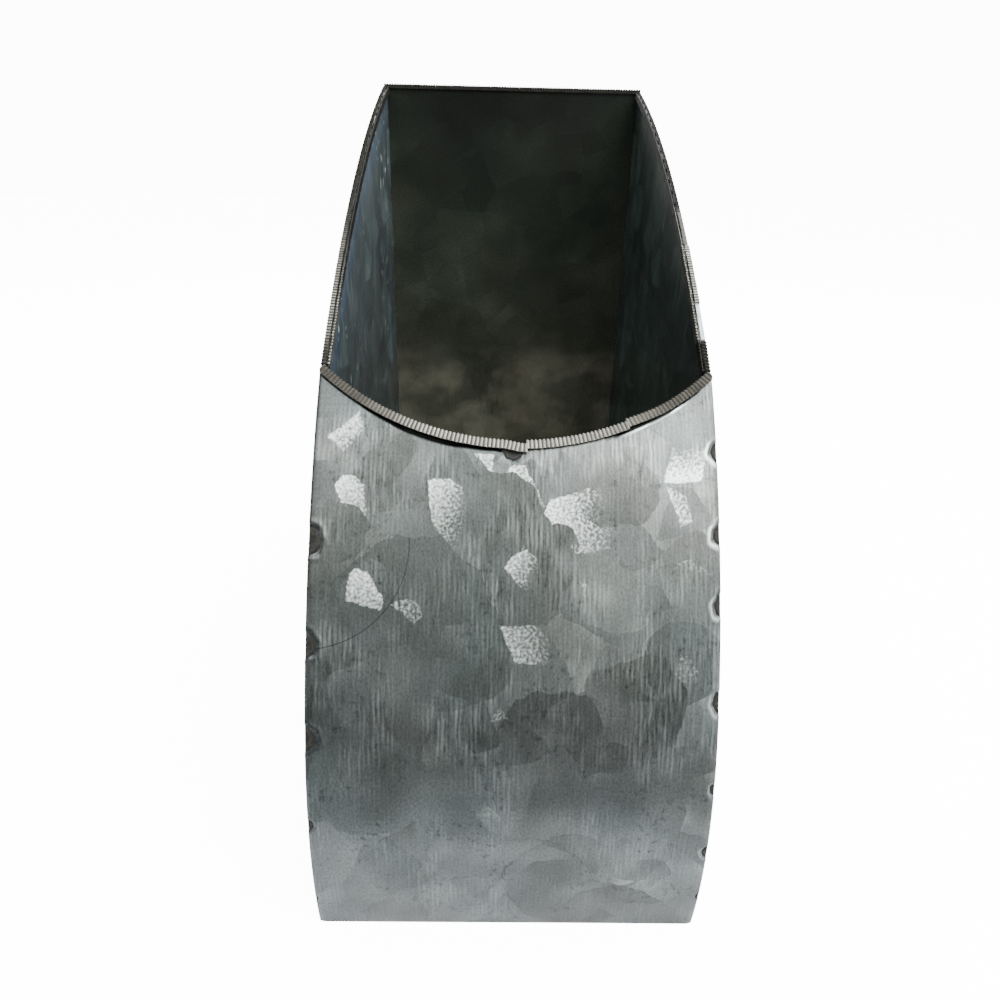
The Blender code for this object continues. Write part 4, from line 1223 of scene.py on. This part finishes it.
rim_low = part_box("left_rim_trim")
rim_start = RIM_RADIUS * (RIM_START_ANGLE - math.asin((RIM_CENTRE.y - rim_low[0].y) / RIM_RADIUS))
rim_end = RIM_RADIUS * (RIM_START_ANGLE - math.asin((RIM_CENTRE.y - rim_low[1].y) / RIM_RADIUS))
print("rim edging from", round(rim_start * 1000, 1), "to", round(rim_end * 1000, 1), "mm from the lip")


def from_lip(rows):
    """How far points of a rim lie from the lip, along the rim."""
    angle = np.arcsin((RIM_CENTRE.y - rows[0]) / (RIM_RADIUS - TRIM_REACH))
    return RIM_RADIUS * (RIM_START_ANGLE - angle)


def left_wear(rows):
    """The left rim is dark at the corner and far up, and rubbed above the corner."""
    along = from_lip(rows)
    return 0.90 - 0.65 * ramp_up(along, 3 * MM, 11 * MM) + 0.70 * ramp_up(along, 15 * MM, 62 * MM)


def left_inner_wear_and_highlight(rows):
    """The left rim's inner strip is pale near the lip: a painted highlight."""
    return 0.05 + 0.92 * ramp_up(from_lip(rows), 10 * MM, 45 * MM)


def right_wear(rows):
    """The right rim is nearly black at the corner, rubbed above it and dull near the top."""
    along = from_lip(rows)
    return 1.0 - 0.75 * ramp_up(along, 8.5 * MM, 10 * MM) + 0.75 * ramp_up(along, 52 * MM, 60 * MM)


def right_polish(rows):
    """The right rim was scraped bare above the corner, and its ribs are worn off further up."""
    along = from_lip(rows)
    scraped = ramp_up(along, 9.2 * MM, 9.8 * MM) * ramp_up(-along, -21.0 * MM, -20.4 * MM)
    worn = ramp_up(along, 41.2 * MM, 41.8 * MM) * ramp_up(-along, -57.0 * MM, -56.0 * MM)
    dark = ramp_up(along, 56.0 * MM, 57.0 * MM)
    return np.maximum(scraped, np.maximum(0.5 * worn, 0.31 * dark))


def right_inner_polish(rows):
    """The right rim's inner strip is a thin smooth line above the break."""
    return 0.55 * ramp_up(from_lip(rows), 41.2 * MM, 41.8 * MM)


rims = (
    ("left_rim_edging", "left_rim_trim", -1, rim_start, rim_end, 11,
     (left_wear, none_of_it), (left_inner_wear_and_highlight, none_of_it)),
    ("right_rim_edging_lower", "right_rim_trim_lower", 1, rim_start, RIM_BREAK, 13,
     (right_wear, right_polish), (right_wear, right_inner_polish)),
    ("right_rim_edging_upper", "right_rim_trim_upper", 1, RIM_BREAK + FIT_GAP, rim_end, 17,
     (right_wear, right_polish), (right_wear, right_inner_polish)),
)
for name, node, side, start, end, seed, outer_looks, inner_looks in rims:
    outer = edging(name + "_outer", rim_path(start, end), outer_fold, seed, *outer_looks)
    inner = edging(name + "_inner", rim_path(start, end), inner_fold, seed + 1, *inner_looks)
    piece = joined(name, [on_side(outer, side), on_side(inner, side)])
    finished(smooth(piece, 40.0), "ribbed_edging", node)

# %% Edging on the back
back_top = CAD_HIGH.z - TRIM_REACH
back_face = BODY_DEPTH + FOOT_Y - SHEET - FIT_GAP
half_back = CAD_HIGH.x - 2.6 * RIB_RADIUS
back_line = [(place, back_top) for place in np.linspace(half_back, -half_back, 60)]


def back_wear(rows):
    """The back's edging is grimy from end to end."""
    return 1.0


back_edging = edging("back_rim_edging", back_line, back_fold, 19, back_wear, none_of_it)
back_edging.data.transform(Matrix(((-1, 0, 0, 0), (0, 0, 1, back_face), (0, 1, 0, 0), (0, 0, 0, 1))))
finished(smooth(back_edging, 40.0), "ribbed_edging", "back_rim_trim")

for helper in (whole_fold, back_fold, outer_fold, inner_fold):
    bpy.data.objects.remove(helper, do_unlink=True)

# %% [markdown]
# ## Weld marks
#
# A spot welder squeezes two sheets between small copper tips and melts them together. It leaves a
# round puddle with an uneven ring of burnt zinc. The tree makes one puddle as a flat cone with
# rings, sets it on each weld's place with its own turn, and roughens them all with one noise.

# %% Finish of the weld marks
FLECKS = 1500.0   # in a metre: one every 0.7 mm

# Weld scale is a dark, rough crust with a black middle and pale specks where it has flaked
burnt_zinc, tree, shader = new_material("burnt_zinc_weld_scale", 0.5, 0.7)
spot = add(tree, "Attribute", attribute_name="spot").outputs["Fac"]
place = add(tree, "TexCoord").outputs["Object"]
flecks = add(tree, "TexNoise", (place, FLECKS, 4.0))
wander = add(tree, "Math", (flecks, 0.5), operation="SUBTRACT")
wander = add(tree, "Math", (wander, 0.9, spot), operation="MULTIPLY_ADD")
rings = set_stops(add(tree, "ValToRGB", (wander,)), (0.0, "050505"), (0.40, "10100f"),
                  (0.66, "292823"), (0.84, "0c0d0d"), (1.0, "1f2120"))
tree.links.new(rings.outputs[0], shader.inputs["Base Color"])

# %% A tree that sets weld marks on points
LUMPS = 1400.0    # in a metre: one every 0.7 mm

weld_tree, size = new_geometry_tree("weld_marks", (
    ("Rise", "Float"), ("Seed", "Int"), ("Finish", "Material"),
))
puddle = add(weld_tree, "GeometryNodeMeshCone", {
    "Vertices": 28, "Side Segments": 8, "Fill Segments": 1, "Radius Top": 0.01,
    "Radius Bottom": 1.0, "Depth": 0.01}, fill_type="NGON")
where = add(weld_tree, "SeparateXYZ", (add(weld_tree, "GeometryNodeInputPosition"),)).outputs
flat_place = add(weld_tree, "CombineXYZ", (where["X"], where["Y"]))
spot = add(weld_tree, "VectorMath", (flat_place,), operation="LENGTH")
puddle = add(weld_tree, "GeometryNodeStoreNamedAttribute",
             {"Geometry": puddle, "Name": "spot", "Value": spot}, data_type="FLOAT", domain="POINT")
spin = add(weld_tree, "FunctionNodeRandomValue",
           {"Min": (0.0, 0.0, -3.1), "Max": (0.0, 0.0, 3.1), "Seed": size["Seed"]},
           data_type="FLOAT_VECTOR")
radius = add(weld_tree, "GeometryNodeInputNamedAttribute", {"Name": "radius"}, data_type="FLOAT")
marks = add(weld_tree, "GeometryNodeInstanceOnPoints",
            {"Points": size["Geometry"], "Instance": puddle, "Rotation": spin, "Scale": radius})
marks = add(weld_tree, "GeometryNodeRealizeInstances", (marks,))
spot = add(weld_tree, "GeometryNodeInputNamedAttribute", {"Name": "spot"}, data_type="FLOAT")
ring = add(weld_tree, "MapRange", (spot, 0.35, 0.80, 0.35, 1.0), interpolation_type="SMOOTHSTEP")
inside = add(weld_tree, "Math", (spot, 0.97), operation="LESS_THAN")
lumps = add(weld_tree, "TexNoise", {"Scale": LUMPS, "Detail": 2.0})
lump = add(weld_tree, "MapRange", (lumps, 0.3, 0.7, 0.45, 1.2))
lift = add(weld_tree, "Math", (ring, lump), operation="MULTIPLY")
lift = add(weld_tree, "Math", (lift, inside), operation="MULTIPLY")
lift = add(weld_tree, "Math", (lift, size["Rise"]), operation="MULTIPLY")
marks = add(weld_tree, "GeometryNodeSetPosition",
            {"Geometry": marks, "Offset": add(weld_tree, "CombineXYZ", (0.0, 0.0, lift))})
marks = add(weld_tree, "GeometryNodeRealizeInstances", (marks,))
marks = add(weld_tree, "GeometryNodeSetMaterial", {"Geometry": marks, "Material": size["Finish"]})
add(weld_tree, "NodeGroupOutput", (marks,))


def weld_marks(name, places, radii, rise, seed):
    """Flat weld marks on these places, with their heights as Z, each with its radius."""
    mesh = bpy.data.meshes.new(name)
    mesh.from_pydata(places, [], [])
    mesh.attributes.new("radius", "FLOAT", "POINT").data.foreach_set("value", radii)
    return run_tree(new_object(name, mesh), weld_tree, rise=rise, seed=seed, finish=burnt_zinc)


# %% Welds on the front's edges and under the lip
PUDDLE_SHARE = 0.93        # a puddle's radius over its dish's
FRONT_PUDDLE_RISE = 0.24 * MM
edge_x = BAND_HALF - 0.12 * MM


def puddle_floor(weld):
    """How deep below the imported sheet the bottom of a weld's dish lies."""
    return ROOM + min(1.0, weld.radius / FULL_DISH) * DISH - 0.02 * MM


for side, label, seed in ((-1, "left", 23), (1, "right", 29)):
    row = edge_welds[label]
    places = [(weld.across, weld.station, -puddle_floor(weld) - EDGE_ROLL * 0.5) for weld in row]
    radii = [PUDDLE_SHARE * weld.radius for weld in row]
    piece = weld_marks(label + "_front_welds", places, radii, FRONT_PUDDLE_RISE, seed)
    piece = trimmed(piece, [(Vector((side * edge_x, 0, 0)), Vector((side, 0, 0)))])
    nodes = [f"{label}_front_weld_{number}" for number in range(1, len(row) + 1)]
    finished(smooth(bend_over_front(piece), 60.0), "weld_scale", *nodes)

lip_place = (LIP_WELD.across, LIP_WELD.station, -puddle_floor(LIP_WELD))
lip_radius = PUDDLE_SHARE * LIP_WELD.radius
lip_mark = weld_marks("lip_weld_mark", [lip_place], [lip_radius], FRONT_PUDDLE_RISE, 31)
lip_top = Vector((0.0, float(lip_edge(LIP_WELD.across)) - FIT_GAP, 0.0))
lip_mark = trimmed(lip_mark, [(lip_top, Vector((0, 1, 0)))])
finished(smooth(bend_over_front(lip_mark), 60.0), "weld_scale", "lip_weld")

# %% Welds on the back's and the floor's seams
SEAM_PUDDLE_RISE = 0.22 * MM
SEAM_FLOOR = 0.50 * MM
seams = (
    ("back", 6, Matrix.Rotation(-math.pi / 2, 4, "X")),
    ("base", 5, Matrix.Rotation(math.pi, 4, "X")),
)
for side, label in ((-1, "left"), (1, "right")):
    for seam, count, turn in seams:
        names = [f"{label}_{seam}_weld_{number}" for number in range(1, count + 1)]
        boxes = [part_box(node) for node in names]
        middles = [(low + high) / 2 for low, high in boxes]
        if seam == "back":
            middles = [Vector((place.x, CAD_HIGH.y - SEAM_FLOOR, place.z)) for place in middles]
        else:
            middles = [Vector((place.x, place.y, SEAM_FLOOR)) for place in middles]
        places = [turn.inverted() @ place for place in middles]
        radii = [(boxes[0][1].x - boxes[0][0].x) / 2 + FIT_GAP - 0.02 * MM] * count
        piece = weld_marks(f"{label}_{seam}_welds", places, radii, SEAM_PUDDLE_RISE, 37 + count + side)
        piece.data.transform(turn)
        finished(smooth(piece, 60.0), "weld_scale", *names)

# %% [markdown]
# ## Floor, light and camera
#
# Metal shows what surrounds it. The front looks dark below the middle and light at its top and
# foot, because its upper part mirrors a bright ceiling, its middle the walls of the room, the part
# below that whatever lies past the table's end, and its foot the pale table. So the card under the
# holder ends a little in front of it, and the world is a soft gradient, bright overhead, dimmer at
# eye level, brighter on the right where the window is, and darkest at eye level on the left. Large
# soft lights hang above. The camera sees a plain pale surface behind it all.

# %% Floor
FLOOR_LENGTH = 6.0
FLOOR_IN_FRONT = 0.054   # the card ends this far in front of the foot
BACKGROUND_GLOW = 12.0

bpy.ops.mesh.primitive_plane_add(size=FLOOR_LENGTH)
floor = bpy.context.active_object
floor.name = "floor"
floor.data.transform(Matrix.Translation((0.0, FLOOR_LENGTH / 2 + FOOT_Y - FLOOR_IN_FRONT, 0.0)))
# Matte white card has no shine: it lights the foot softly, and the camera sees it as plain white
paper, tree, shader = new_material("matte_white_card", 0.0, 0.9)
shader.inputs["Base Color"].default_value = colour("f2f3fa")
shader.inputs["Emission Color"].default_value = colour("ffffff")
by_camera = add(tree, "LightPath").outputs["Is Camera Ray"]
glow = add(tree, "Math", (by_camera, BACKGROUND_GLOW), operation="MULTIPLY")
tree.links.new(glow.outputs[0], shader.inputs["Emission Strength"])
floor.data.materials.append(paper)

# %% Light
DIM_CORNER = (-0.44, -0.90, 0.0)   # the room is darkest this way, at eye level on the left

world = bpy.data.worlds.new("soft_studio")
bpy.context.scene.world = world
world.use_nodes = True
tree = world.node_tree
tree.nodes.clear()
whole_aim = add(tree, "TexCoord").outputs["Generated"]
aim = add(tree, "SeparateXYZ", (whole_aim,)).outputs
rise = add(tree, "MapRange", (aim["Z"], -1.0, 1.0, 0.0, 1.0))
sky = set_stops(add(tree, "ValToRGB", (rise,)), (0.0, "3c4042"), (0.42, "a8acb0"),
                (0.50, "b8bcc0"), (0.60, "c4c8c6"), (0.70, "d6d8d4"), (0.83, "f3f3eb"), (1.0, "ffffff"))
window = add(tree, "MapRange", (aim["X"], -0.35, 0.35, 1.48, 2.62), interpolation_type="SMOOTHSTEP")
apart = add(tree, "VectorMath", (whole_aim, DIM_CORNER), operation="DISTANCE").outputs["Value"]
dimmed = add(tree, "MapRange", (apart, 0.10, 0.50, 0.15, 1.0), interpolation_type="SMOOTHSTEP")
strength = add(tree, "Math", (window, dimmed), operation="MULTIPLY")
lit = add(tree, "Background", (sky, strength))
seen = add(tree, "Background", (colour("ffffff"), BACKGROUND_GLOW + 0.9))
by_camera = add(tree, "LightPath").outputs["Is Camera Ray"]
either = add(tree, "MixShader", (by_camera, lit, seen))
add(tree, "OutputWorld", (either,))


def soft_light(name, place, aim_at, width, depth, power):
    """A rectangular soft light at a place, turned towards a point."""
    light = bpy.data.lights.new(name, "AREA")
    light.shape = "RECTANGLE"
    light.size = width
    light.size_y = depth
    light.energy = power
    item = new_object(name, light)
    item.location = place
    item.rotation_euler = (Vector(aim_at) - Vector(place)).to_track_quat("-Z", "Y").to_euler()
    return item


soft_light("overhead_softbox", (0.60, -0.60, 1.30), (0.0, 0.0, 0.1), 1.2, 0.9, 44.0)
soft_light("left_softbox", (-0.55, -0.65, 1.10), (0.0, -0.12, 0.0), 0.7, 0.6, 9.0)
soft_light("floor_fill", (0.0, 0.9, 1.2), (0.0, 0.2, 0.0), 1.6, 0.8, 20.0)
soft_light("side_softbox", (0.75, -0.95, 0.45), (0.0, -0.05, 0.1), 0.6, 0.6, 4.0)

# %% Camera
FOCAL_SHARE = 0.72     # focal length over the frame's width
PITCH = math.radians(24.08)
YAW = math.radians(0.96)
ROLL = math.radians(-1.33)
CAMERA_PLACE = Vector((-5.85 * MM, FOOT_Y - 117.1 * MM, 164.5 * MM))
camera_data = bpy.data.cameras.new("camera")
camera_data.sensor_width = 36.0
camera_data.lens = FOCAL_SHARE * camera_data.sensor_width
camera_data.clip_start = 0.005
camera = new_object("camera", camera_data)
aim = Vector((math.sin(YAW) * math.cos(PITCH), math.cos(YAW) * math.cos(PITCH), -math.sin(PITCH)))
level = Vector((math.cos(YAW), -math.sin(YAW), 0.0))
down = aim.cross(level)
right = math.cos(ROLL) * level + math.sin(ROLL) * down
lower = math.cos(ROLL) * down - math.sin(ROLL) * level
axes = Matrix((right, -lower, -aim)).transposed()
camera.matrix_world = Matrix.Translation(CAMERA_PLACE) @ axes.to_4x4()
bpy.context.scene.camera = camera
